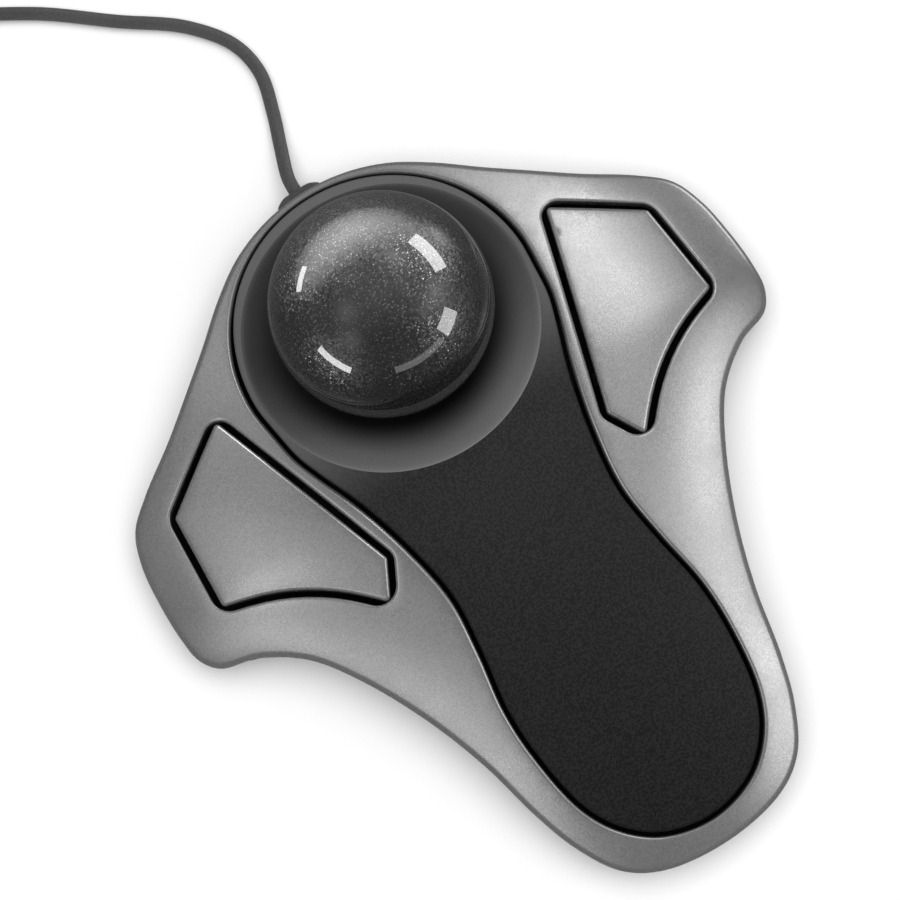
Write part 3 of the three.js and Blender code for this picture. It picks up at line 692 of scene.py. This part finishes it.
CABLE_R = 1.25
CABLE_BORE_R = CABLE_R + 0.2
CABLE_Z = 5.2  # where the cable leaves the body
DESK_Z = CABLE_R + 0.2  # and where it lies on the desk
PLUG_AT = np.array((-58.0, 136.0, 4.4))  # back end of the plug's grip
PLUG_HEADING = np.array((-1.0, 0.0, 0.0))

# Points that the cable runs through, from the main board to the inside of the plug's grip.
INSIDE_BODY = [(17, 20.4, 8.4), (18.6, 27, 7.6), (19, 38, 4.8), (14, 52, 4.7), (4, 59.5, 5.1)]
THROUGH_WALL = [(0, 64.5, CABLE_Z), (0, 68, CABLE_Z), (0, 71.5, CABLE_Z), (0.3, 74.5, 4.8), (2.6, 81, 2.4)]
ON_DESK = [(4.9, 87), (7.0, 94.8), (5.9, 101.8), (0.3, 109.6), (-9.7, 117.5), (-22.5, 127.8)]
RISE = (-20, 2.2)  # distance along the plug's heading and height where it rises from the desk
INSIDE_GRIP = (-11, -6, 2)
CABLE_STEPS = 16


def sweep(skin, path, radius, sides=20):
    """Rings of a round cord along a path. The rings don't twist."""
    tangents = np.gradient(path, axis=0)
    rings = []
    side = np.array((1.0, 0.0, 0.0))
    for point, tangent, r in zip(path, tangents, np.broadcast_to(radius, len(path))):
        tangent = unit(tangent)
        side = unit(side - tangent * (side @ tangent)) if abs(side @ tangent) < 0.99 else side
        other = np.cross(tangent, side)
        angles = np.linspace(0, 2 * math.pi, sides, endpoint=False)
        rings.append(skin.ring([point + r * (math.cos(a) * side + math.sin(a) * other) for a in angles]))
    skin.bands(rings)
    skin.cap(rings[0], path[0], down=True)
    skin.cap(rings[-1], path[-1])
    return rings


def cable_path():
    on_desk = [(x, y, DESK_Z) for x, y in ON_DESK]
    rise = [tuple(PLUG_AT[:2] + PLUG_HEADING[:2] * RISE[0]) + (RISE[1],)]
    plug = [tuple(PLUG_AT + PLUG_HEADING * s) for s in INSIDE_GRIP]
    return curve_points(INSIDE_BODY + THROUGH_WALL + on_desk + rise + plug, CABLE_STEPS, False)


def make_cable():
    skin = Skin()
    sweep(skin, cable_path(), CABLE_R)
    return skin.mesh("cable_cord")


def oblong(half_width, half_height, power, count=48):
    """A rounded rectangle as a superellipse; power 2 is an ellipse and larger powers are squarer."""
    angles = np.linspace(0, 2 * math.pi, count, endpoint=False)
    c, s = np.cos(angles), np.sin(angles)
    x = half_width * np.sign(c) * np.abs(c) ** (2 / power)
    y = half_height * np.sign(s) * np.abs(s) ** (2 / power)
    return np.stack([x, y], axis=1)


# Outlines of the grommet's parts: half width, half height, squareness and the height of the middle.
GROMMET_MIDDLE = (GROMMET_LOW[2] + GROMMET_HIGH[2]) / 2
OUTER_FLANGE = (GROMMET_HIGH[0], (GROMMET_HIGH[2] - GROMMET_LOW[2]) / 2, 5, GROMMET_MIDDLE)
INNER_FLANGE = (4.3, 1.95, 6, CABLE_Z)
THROAT_OUTLINE = (3.5, 1.9, 6, CABLE_Z)
TIP = (3.2, 1.9, 4, CABLE_Z)
FLANGE_Y = 70.0  # rear face of the outer flange, against the shell


def make_grommet():
    """Rubber grommet: an inner flange, a throat through the wall and an outer flange, with a bore."""
    skin = Skin()
    rear, front = GROMMET_LOW[1], GROMMET_HIGH[1]
    stations = [(rear + s, scale, INNER_FLANGE) for s, scale in ((0, 0.9), (0.15, 1), (1.4, 1), (1.6, 0.98))]
    stations += [(rear + 1.7, 1, THROAT_OUTLINE), (FLANGE_Y - 0.1, 1, THROAT_OUTLINE)]
    for s, scale in ((0, 0.97), (0.15, 1), (0.5, 0.97), (0.9, 0.86)):
        stations.append((FLANGE_Y + s, scale, OUTER_FLANGE))
    stations += [(front - 0.12, 1, TIP), (front, 0.9, TIP)]
    rings = []
    for y, scale, (half_width, half_height, power, middle) in stations:
        shape = oblong(half_width * scale, half_height * scale, power)
        rings.append(skin.ring([(-u, y, middle + v) for u, v in shape]))
    bore = oblong(CABLE_BORE_R, CABLE_BORE_R, 2)
    for y in (front, front - 0.3, rear + 0.3, rear):
        rings.append(skin.ring([(-u, y, CABLE_Z + v) for u, v in bore]))
    rings.append(rings[0])
    skin.bands(rings)
    return skin.mesh("grommet")


GRIP_LENGTH = 24.0
GRIP_WIDTH = 7.6  # half sizes of the grip
GRIP_HEIGHT = 4.0
RELIEF_LENGTH = 9.0
RELIEF_R = 2.6
NECK_R = 2.05  # between the strain relief's ribs
RIB_STARTS = [-7.4 + 2.1 * k for k in range(3)]
SHOULDER_START = -0.9
SHOULDER_LENGTH = 1.4
GROOVE_STARTS = [5.0 + 2.2 * k for k in range(4)]
ROUND = 2  # squareness of an ellipse
SQUARE = 6  # and of the grip
SOCKET = (6.25, 2.5, 12)
SOCKET_BOTTOM = 18.1
BORE_END = 3.5


def plug_point(s, u, v):
    """s runs from the back of the grip towards the plug's tip, u across and v up."""
    return PLUG_AT + PLUG_HEADING * s + np.array((0, -u, v))


def grip_stations():
    """Distance along the grip, half width, half height and squareness of each of its rings."""
    stations = []

    def relief(s, radius):
        stations.append((s, radius, radius, ROUND))

    def body(s, slimmer, flatter):
        stations.append((s, GRIP_WIDTH - slimmer, GRIP_HEIGHT - flatter, SQUARE))

    relief(-RELIEF_LENGTH, RELIEF_R - 0.35)
    relief(-RELIEF_LENGTH + 0.3, RELIEF_R)
    for start in RIB_STARTS:
        for s, radius in ((0, RELIEF_R), (0.15, NECK_R), (0.8, NECK_R), (0.95, RELIEF_R)):
            relief(start + s, radius)
    neck_width = RELIEF_R + 0.4
    for angle in np.linspace(0, math.pi / 2, 6):
        grow = math.sin(angle)
        stations.append((
            SHOULDER_START + SHOULDER_LENGTH * (1 - math.cos(angle)),
            neck_width + (GRIP_WIDTH - neck_width) * grow,
            RELIEF_R + (GRIP_HEIGHT - RELIEF_R) * grow,
            ROUND + (SQUARE - ROUND) * grow,
        ))
    for start in GROOVE_STARTS:
        for s, slimmer, flatter in ((0, 0, 0), (0.3, 0.35, 0.3), (0.9, 0.35, 0.3), (1.2, 0, 0)):
            body(start + s, slimmer, flatter)
    body(GRIP_LENGTH - 0.5, 0, 0)
    body(GRIP_LENGTH - 0.15, 0.15, 0.15)
    body(GRIP_LENGTH, 0.5, 0.5)
    return stations


def make_grip():
    """Moulded plug grip with a ribbed strain relief, a cable bore and a socket for the metal shell."""
    skin = Skin()
    stations = [(s, CABLE_BORE_R, CABLE_BORE_R, ROUND) for s in (BORE_END, -RELIEF_LENGTH)]
    stations += grip_stations()
    stations += [(s, *SOCKET) for s in (GRIP_LENGTH, SOCKET_BOTTOM)]
    rings = []
    for s, w, h, power in stations:
        rings.append(skin.ring([plug_point(s, u, v) for u, v in oblong(w, h, power, 96)]))
    skin.bands(rings)
    skin.cap(rings[0], plug_point(stations[0][0], 0, 0), down=True)
    skin.cap(rings[-1], plug_point(stations[-1][0], 0, 0))
    return skin.mesh("plug_grip")


# ---- materials ----
class Paint:
    """A material with its node tree and a few shorthands."""

    def __init__(self, name):
        self.material = bpy.data.materials.new(name)
        self.material.use_nodes = True
        self.nodes = self.material.node_tree.nodes
        self.links = self.material.node_tree.links
        self.shader = self.nodes["Principled BSDF"]
        place = self.nodes.new("ShaderNodeTexCoord")
        to_mm = self.nodes.new("ShaderNodeMapping")
        to_mm.inputs["Scale"].default_value = (1 / MM, 1 / MM, 1 / MM)
        self.links.new(place.outputs["Object"], to_mm.inputs["Vector"])
        self.place = to_mm.outputs["Vector"]

    def set(self, **values):
        for name, value in values.items():
            self.shader.inputs[name.replace("_", " ")].default_value = value

    def link(self, output, name):
        self.links.new(output, self.shader.inputs[name])

    def noise(self, size, detail=2.0, place=None):
        """Noise whose features are about size millimetres wide."""
        node = self.nodes.new("ShaderNodeTexNoise")
        node.inputs["Scale"].default_value = 1 / size
        node.inputs["Detail"].default_value = detail
        self.links.new(place or self.place, node.inputs["Vector"])
        return node.outputs["Fac"]

    def cells(self, size, feature="F1"):
        node = self.nodes.new("ShaderNodeTexVoronoi")
        node.feature = feature
        node.inputs["Scale"].default_value = 1 / size
        self.links.new(self.place, node.inputs["Vector"])
        return node

    def ramp(self, value, low, high, to_low=0.0, to_high=1.0):
        node = self.nodes.new("ShaderNodeMapRange")
        node.interpolation_type = "SMOOTHSTEP"
        node.inputs["From Min"].default_value = low
        node.inputs["From Max"].default_value = high
        node.inputs["To Min"].default_value = to_low
        node.inputs["To Max"].default_value = to_high
        self.links.new(value, node.inputs["Value"])
        return node.outputs["Result"]

    def math(self, operation, a, b):
        node = self.nodes.new("ShaderNodeMath")
        node.operation = operation
        for socket, value in zip(node.inputs, (a, b)):
            if isinstance(value, (int, float)):
                socket.default_value = value
            else:
                self.links.new(value, socket)
        return node.outputs["Value"]

    def mix(self, share, a, b):
        node = self.nodes.new("ShaderNodeMix")
        node.data_type = "RGBA"
        self.put(node.inputs["Factor"], share)
        first, second = (socket for socket in node.inputs if socket.type == "RGBA")
        self.put(first, a)
        self.put(second, b)
        return next(socket for socket in node.outputs if socket.type == "RGBA")

    def axis(self, letter):
        """One of the three coordinates of the place, in millimetres."""
        split = self.nodes.new("ShaderNodeSeparateXYZ")
        self.links.new(self.place, split.inputs["Vector"])
        return split.outputs[letter]

    def red_and_green(self, color):
        """The first two channels of a colour, as two random numbers of a cell."""
        split = self.nodes.new("ShaderNodeSeparateColor")
        self.links.new(color, split.inputs["Color"])
        return split.outputs["Red"], split.outputs["Green"]

    def vector(self, operation, value, *constants):
        node = self.nodes.new("ShaderNodeVectorMath")
        node.operation = operation
        self.links.new(value, node.inputs[0])
        for socket, constant in zip(node.inputs[1:], constants):
            if isinstance(constant, tuple):
                socket.default_value = constant
            else:
                self.links.new(constant, socket)
        return node

    def put(self, socket, value):
        if isinstance(value, (int, float)):
            socket.default_value = value
        elif isinstance(value, tuple):
            socket.default_value = value + (1.0,)
        else:
            self.links.new(value, socket)

    def bump(self, height, strength, distance_mm):
        node = self.nodes.new("ShaderNodeBump")
        node.inputs["Strength"].default_value = strength
        node.inputs["Distance"].default_value = distance_mm * MM
        self.links.new(height, node.inputs["Height"])
        self.link(node.outputs["Normal"], "Normal")
        return node


def grey(value, warmth=0.0):
    """A grey, or a tint of it that leans to red by the warmth."""
    return (value * (1 + warmth), value, value * (1 - warmth))


def plain_finish(name, color, roughness, metallic=0.0, grain=0.25, vary=0.15, bump=0.15, specular=0.5):
    """A solid colour with fine grain, slow blotches of colour and roughness, and a fine bump."""
    paint = Paint(name)
    fine = paint.noise(grain, 3)
    slow = paint.noise(18.0, 2)
    dark = tuple(c * (1 - vary) for c in color)
    light = tuple(min(c * (1 + vary), 1) for c in color)
    mixed = paint.math("ADD", paint.math("MULTIPLY", fine, 0.6), paint.math("MULTIPLY", slow, 0.4))
    paint.link(paint.mix(paint.ramp(mixed, 0.35, 0.65), dark, light), "Base Color")
    paint.link(paint.ramp(slow, 0.3, 0.7, roughness - 0.05, roughness + 0.07), "Roughness")
    paint.set(Metallic=metallic, Specular_IOR_Level=specular)
    paint.bump(fine, bump, 0.05)
    return paint.material


def silver_finish():
    """Satin silver lacquer: fine metallic flakes, slight orange peel, faint handling wear."""
    paint = Paint("silver_lacquer")
    tone, lift = paint.red_and_green(paint.cells(0.16).outputs["Color"])
    slow = paint.noise(14.0, 3)
    shade = paint.math("ADD", paint.math("MULTIPLY", tone, 0.7), paint.math("MULTIPLY", slow, 0.3))
    paint.link(paint.mix(paint.ramp(shade, 0.1, 0.95), grey(0.54), grey(0.72)), "Base Color")
    paint.link(paint.ramp(slow, 0.3, 0.7, 0.25, 0.31), "Roughness")
    paint.set(Metallic=0.75, Specular_IOR_Level=0.5)
    peel = paint.noise(0.5, 2)
    height = paint.math("ADD", paint.math("MULTIPLY", lift, 0.5), peel)
    paint.bump(height, 0.12, 0.05)
    return paint.material


RING_FADE = (12, 32)  # the head's ring turns from charcoal to grey between these distances forward


def charcoal_finish():
    """Soft-touch charcoal with a fine grain, greyer on the ring round the head."""
    paint = Paint("charcoal_soft_touch")
    ring = paint.ramp(paint.axis("Y"), *RING_FADE)
    fine = paint.noise(0.22, 3)
    slow = paint.noise(16.0, 3)
    tone = paint.ramp(paint.math("ADD", fine, paint.math("MULTIPLY", slow, 0.5)), 0.5, 1.0)
    soft = paint.mix(paint.ramp(paint.noise(0.45, 2), 0.4, 0.6), grey(0.001), grey(0.018))
    hard = paint.mix(tone, grey(0.13), grey(0.16))
    paint.link(paint.mix(ring, soft, hard), "Base Color")
    paint.link(paint.ramp(slow, 0.3, 0.7, 0.56, 0.64), "Roughness")
    paint.set(Specular_IOR_Level=0.5)
    paint.bump(fine, 0.2, 0.05)
    return paint.material


PAINTED_THROAT_SHADE = (19, 26)  # painted shade: the dish is painted from black to grey between these distances from the ball's middle, for the ball's shadow in its throat
PAINTED_DISH_LIGHT_FADE = (12, 50)  # and, as painted light and shade, from light grey at its rear to dark grey at its front between these


def dish_finish():
    """Satin grey plastic of the dish, with painted shade that makes its throat black round the ball, and
    painted light and shade that make its rear lighter than its front.
    """
    paint = Paint("dish_grey")
    from_ball = paint.vector("MULTIPLY_ADD", paint.place, (1, 1, 0), (-BALL[0], -BALL[1], 0))
    distance = paint.vector("LENGTH", from_ball.outputs["Vector"]).outputs["Value"]
    # painted shade: black near the ball, where the ball shades the dish's throat
    throat = paint.ramp(distance, *PAINTED_THROAT_SHADE)
    fine = paint.noise(0.22, 3)
    slow = paint.noise(16.0, 3)
    tone = paint.ramp(paint.math("ADD", fine, paint.math("MULTIPLY", slow, 0.5)), 0.5, 1.0)
    # painted light and shade: the lit grey on the dish's rear, the shaded grey on its front
    forward = paint.ramp(paint.axis("Y"), *PAINTED_DISH_LIGHT_FADE)
    light = paint.mix(tone, grey(0.28), grey(0.33))
    dark = paint.mix(tone, grey(0.055), grey(0.07))
    satin_with_painted_light = paint.mix(forward, light, dark)
    paint.link(paint.mix(throat, grey(0.006), satin_with_painted_light), "Base Color")
    paint.link(paint.ramp(slow, 0.3, 0.7, 0.42, 0.5), "Roughness")
    paint.bump(fine, 0.15, 0.05)
    return paint.material


FLAKE_LEAN = 0.32


def ball_finish():
    """Dark metallic grey ball with fine silver flakes under a polished clear coat."""
    paint = Paint("ball_flake")
    flakes = paint.cells(0.34)
    near = paint.ramp(flakes.outputs["Distance"], 0.2, 0.5, 1.0, 0.0)
    chosen = paint.ramp(paint.red_and_green(flakes.outputs["Color"])[0], 0.35, 1.0)
    mask = paint.math("MULTIPLY", near, chosen)
    slow = paint.noise(6.0, 3)
    body = paint.mix(slow, grey(0.030), grey(0.048))
    paint.link(paint.mix(mask, body, grey(0.16)), "Base Color")
    paint.set(Metallic=0.9)
    paint.link(paint.ramp(mask, 0, 1, 0.42, 0.36), "Roughness")
    normal = paint.nodes.new("ShaderNodeNewGeometry").outputs["Normal"]
    centred = paint.vector("SUBTRACT", flakes.outputs["Color"], (0.5,) * 3)
    leaning = paint.vector("MULTIPLY_ADD", centred.outputs["Vector"], (FLAKE_LEAN,) * 3, normal)
    paint.link(paint.vector("NORMALIZE", leaning.outputs["Vector"]).outputs["Vector"], "Normal")
    paint.set(Coat_Weight=1.0, Coat_Roughness=0.03, Coat_IOR=1.42)
    paint.set(Specular_IOR_Level=0.4, Specular_Tint=grey(0.1) + (1.0,))
    return paint.material


def board_finish():
    """Green circuit board with copper tracks under the lacquer."""
    paint = Paint("board_lacquer")
    cells = paint.cells(1.4, "DISTANCE_TO_EDGE")
    track = paint.ramp(cells.outputs["Distance"], 0.06, 0.09, 1.0, 0.0)
    slow = paint.noise(9.0, 2)
    ground = paint.mix(slow, (0.003, 0.020, 0.008), (0.005, 0.030, 0.012))
    paint.link(paint.mix(track, ground, (0.012, 0.06, 0.02)), "Base Color")
    paint.link(paint.ramp(slow, 0.3, 0.7, 0.28, 0.4), "Roughness")
    paint.bump(track, 0.25, 0.05)
    return paint.material


MATERIALS = {
    "silver": silver_finish(),
    "charcoal": charcoal_finish(),
    "ball_grey": ball_finish(),
    "black_plastic": plain_finish("black_plastic", grey(0.014), 0.5),
    "rubber": plain_finish("rubber", grey(0.017), 0.8, bump=0.3, specular=0.3),
    "cable_grey": plain_finish("cable_jacket", grey(0.17), 0.4, grain=0.4),
    "steel": plain_finish("steel", grey(0.62), 0.27, metallic=1.0, vary=0.08, bump=0.05),
    "board_green": board_finish(),
    "switch_red": plain_finish("switch_red", (0.30, 0.03, 0.02), 0.45),
    "white_plastic": plain_finish("white_plastic", grey(0.75, 0.02), 0.5, vary=0.05),
    "clear_plastic": plain_finish("clear_plastic", (0.62, 0.70, 0.74), 0.08, vary=0.04),
    "gold": plain_finish("gold", (0.80, 0.55, 0.20), 0.3, metallic=1.0, vary=0.08, bump=0.05),
    "ribbon": plain_finish("ribbon", (0.52, 0.48, 0.38), 0.55, vary=0.08),
    "paper": plain_finish("paper", grey(0.62), 0.75, vary=0.05, bump=0.2),
}


# ---- assembly ----
def finish_cad_nodes():
    """Every CAD node takes the material of its slot in the record."""
    for part in frame["record"]["subparts"]:
        data = frame["nodes"][part["node"]].data
        data.materials.clear()
        data.materials.append(MATERIALS[part["material_slot"]])


def show(piece, body, slot_name, *nodes):
    """The piece takes the material of its slot, rides on the body and stands for the CAD nodes."""
    piece.data.materials.append(MATERIALS[slot_name])
    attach(piece, body)
    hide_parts(*nodes)


def build_pieces():
    show(make_top_shell(), "chassis", "silver", "top_shell")
    palm_rest = make_palm_rest()
    show(palm_rest, "chassis", "charcoal", "palm_rest")
    palm_rest.data.materials.append(dish_finish())
    keys = {}
    for side, mirror in (("left", True), ("right", False)):
        key = keys[side] = make_key(f"key_{side}", mirror)
        show(key, f"{side}_key", "silver", f"{side}_button")
        key.data.materials.append(MATERIALS["black_plastic"])
    ball = quad_sphere("ball_polished", BALL, BALL_R, 44)
    show(ball, "trackball", "ball_grey", "ball")
    for side in ("front", "left", "right"):
        low, high = cad_box(f"bearing_{side}")
        bead = quad_sphere(f"bearing_bead_{side}", (low + high) / 2, (high[2] - low[2]) / 2, 8)
        show(bead, "chassis", "steel", f"bearing_{side}")
    for node in ("foot_centre", "foot_rear", "foot_front", "foot_left", "foot_right"):
        show(make_foot(node), "chassis", "rubber", node)
    show(make_cable(), "chassis", "cable_grey", "cable")
    show(make_grommet(), "chassis", "cable_grey", "cable_grommet")
    show(make_grip(), "chassis", "black_plastic", "usb_grip")
    return ball, palm_rest, keys["left"]


# ---- stage, light and camera ----
DESK_HALF = 3000
DESK_TOP = -0.02  # just below the feet


def make_floor():
    """A pale desk that mirrors don't show."""
    skin = Skin()
    corners = ((-1, -1), (1, -1), (1, 1), (-1, 1))
    ring = skin.ring([(x * DESK_HALF, y * DESK_HALF, DESK_TOP) for x, y in corners])
    skin.faces.append(tuple(ring))
    floor = skin.mesh("desk")
    paper = plain_finish("desk_paper", grey(0.80), 0.9, vary=0.01, bump=0.02, specular=0.1)
    floor.data.materials.append(paper)
    floor.visible_glossy = False
    return floor


def direction(azimuth, elevation):
    """Unit vector towards an azimuth, counted from +X towards +Y, and an elevation, in degrees."""
    a, e = math.radians(azimuth), math.radians(elevation)
    return np.array((math.cos(e) * math.cos(a), math.cos(e) * math.sin(a), math.sin(e)))


LIGHT_DISTANCE = 700
POWER = 4  # watts per square metre for each unit of brightness


def add_lamp(name, data):
    """A lamp, put in the scene."""
    lamp = bpy.data.objects.new(name, data)
    bpy.context.scene.collection.objects.link(lamp)
    return lamp


def softbox(name, azimuth, elevation, wide, tall, brightness):
    """An area light seen from the ball under the given angles, in degrees."""
    data = bpy.data.lights.new(name, "AREA")
    data.shape = "RECTANGLE"
    data.size = 2 * LIGHT_DISTANCE * MM * math.tan(math.radians(wide / 2))
    data.size_y = 2 * LIGHT_DISTANCE * MM * math.tan(math.radians(tall / 2))
    data.energy = brightness * POWER * data.size * data.size_y
    lamp = add_lamp(name, data)
    towards = direction(azimuth, elevation)
    lamp.location = Vector((BALL + towards * LIGHT_DISTANCE) * MM)
    lamp.rotation_euler = Vector(towards).to_track_quat("Z", "Y").to_euler()
    lamp.visible_camera = False
    return lamp


def broad_sun(name, spread, brightness):
    """Even light from above, its shadows as soft as the spread of its disc in degrees is wide."""
    data = bpy.data.lights.new(name, "SUN")
    data.angle = math.radians(spread)
    data.energy = brightness
    return add_lamp(name, data)


def light_only(piece, lamps):
    """Links the lamps to one piece, so that nothing else shows them."""
    lit = bpy.data.collections.new("lit_by_" + lamps[0].name)
    lit.objects.link(piece)
    for lamp in lamps:
        lamp.light_linking.receiver_collection = lit


def glow(name, azimuth, elevation, wide, tall, brightness, layers=8):
    """Nested oval softboxes, together brightest in the middle and soft at the edge."""
    lamps = []
    for k in range(layers):
        size = (k + 1) / layers
        share = 2 * (layers - k) / (layers * (layers + 1))
        lamps.append(softbox(f"{name}_{k}", azimuth, elevation, wide * size, tall * size, brightness * share))
        lamps[-1].data.shape = "ELLIPSE"
    return lamps


def make_lights(ball, palm_rest, left_key, floor):
    """Softboxes for the ball's polish, the dish and the left key's edge, and a broad sun for the desk."""
    light_only(ball, [
        softbox("key_right", 12, 21, 34, 16, 13),
        softbox("strip_right", -50, 14, 20, 17, 9),
        softbox("strip_rear", -88, 11, 46, 8, 2.2),
        softbox("rear_left", -162, 5, 30, 8, 13),
        softbox("sliver_left", 129, 2, 18, 7, 12),
    ] + glow("front_glow", 84, 16, 120, 64, 19) + glow("overhead", 90, 84, 90, 90, 1.9))
    light_only(palm_rest, [softbox("dish_front", 92, 55, 80, 40, 1.0)])
    light_only(left_key, [softbox("left_key_edge", 56, 38, 44, 18, 2.6)])
    light_only(floor, [broad_sun("desk_overhead", 66, 2.9)])


# Soft lobes of the studio's light: azimuth, elevation, sharpness and brightness.
SKY_LOBES = {
    "front_right": (32, 47, 60, 2.1),
    "front_right_side": (52, 44, 60, 0.9),
    "right_high": (-8, 62, 40, 0.45),
    "rear_right": (-26, 32, 50, 1.9),
    "rear_right_far": (-46, 41, 50, 1.1),
    "left": (172, 52, 50, 1.15),
    "rear_left": (-158, 36, 60, 1.1),
    "front_left": (112, 48, 50, 0.5),
    "low_rim": (18, -4, 70, 2.6),
}
SKY_BASE = 0.18
GROUND_BASE = 0.12
SKY_FADE = (-0.1, 0.5)  # from ground to sky between these heights on the unit sphere
BACKDROP = 1.0


def make_world():
    """A dim sky with a few broad lobes of light. The camera itself sees a plain pale backdrop instead."""
    world = bpy.data.worlds.new("studio")
    world.use_nodes = True
    bpy.context.scene.world = world
    nodes, links = world.node_tree.nodes, world.node_tree.links
    place = nodes.new("ShaderNodeTexCoord").outputs["Generated"]

    def math_node(operation, a, b=0):
        node = nodes.new("ShaderNodeMath")
        node.operation = operation
        for socket, value in zip(node.inputs, (a, b)):
            if isinstance(value, (int, float)):
                socket.default_value = value
            else:
                links.new(value, socket)
        return node.outputs["Value"]

    def along(axis):
        dot = nodes.new("ShaderNodeVectorMath")
        dot.operation = "DOT_PRODUCT"
        dot.inputs[1].default_value = axis
        links.new(place, dot.inputs[0])
        return dot.outputs["Value"]

    sky = nodes.new("ShaderNodeMapRange")
    sky.interpolation_type = "SMOOTHSTEP"
    sky.inputs["From Min"].default_value = SKY_FADE[0]
    sky.inputs["From Max"].default_value = SKY_FADE[1]
    sky.inputs["To Min"].default_value = GROUND_BASE
    sky.inputs["To Max"].default_value = SKY_BASE
    links.new(along((0, 0, 1)), sky.inputs["Value"])
    total = sky.outputs["Result"]
    for azimuth, elevation, sharpness, brightness in SKY_LOBES.values():
        near = math_node("SUBTRACT", along(tuple(direction(azimuth, elevation))), 1.0)
        lobe = math_node("EXPONENT", math_node("MULTIPLY", near, sharpness))
        total = math_node("ADD", total, math_node("MULTIPLY", lobe, brightness))
    seen = nodes.new("ShaderNodeMix")
    seen.inputs["B"].default_value = BACKDROP
    links.new(nodes.new("ShaderNodeLightPath").outputs["Is Camera Ray"], seen.inputs["Factor"])
    links.new(total, seen.inputs["A"])
    links.new(seen.outputs["Result"], nodes["Background"].inputs["Strength"])
    nodes["Background"].inputs["Color"].default_value = (1.0, 1.0, 1.0, 1.0)


AIM = np.array((-3.5, 14.43, 20.0))
CAMERA_DISTANCE = 606.8
LENS = 136.83
FILM_WIDTH = 36.0
LEAN_SIDE = 3.4  # degrees that the camera stands to the left of straight above
LEAN_REAR = 6.2  # and to the rear of it
TURN = 33.4  # degrees that the picture's top is turned from the object's front to its right


def make_camera():
    """Looks down from almost straight above, with the body turned in the picture."""
    data = bpy.data.cameras.new("camera")
    data.lens = LENS
    data.sensor_width = FILM_WIDTH
    camera = bpy.data.objects.new("camera", data)
    back = unit(np.array((-math.tan(math.radians(LEAN_SIDE)), -math.tan(math.radians(LEAN_REAR)), 1.0)))
    turn = math.radians(TURN)
    up = np.array((math.sin(turn), math.cos(turn), 0.0))
    up = unit(up - back * (up @ back))
    right = np.cross(up, back)
    place = Matrix([list(row) + [0] for row in np.stack([right, up, back], axis=1)] + [[0, 0, 0, 1]])
    place.translation = Vector((AIM + back * CAMERA_DISTANCE) * MM)
    camera.matrix_world = place
    bpy.context.scene.collection.objects.link(camera)
    bpy.context.scene.camera = camera


finish_cad_nodes()
ball, palm_rest, left_key = build_pieces()
floor = make_floor()
make_lights(ball, palm_rest, left_key, floor)
make_world()
make_camera()
bpy.context.scene.view_settings.view_transform = "Standard"
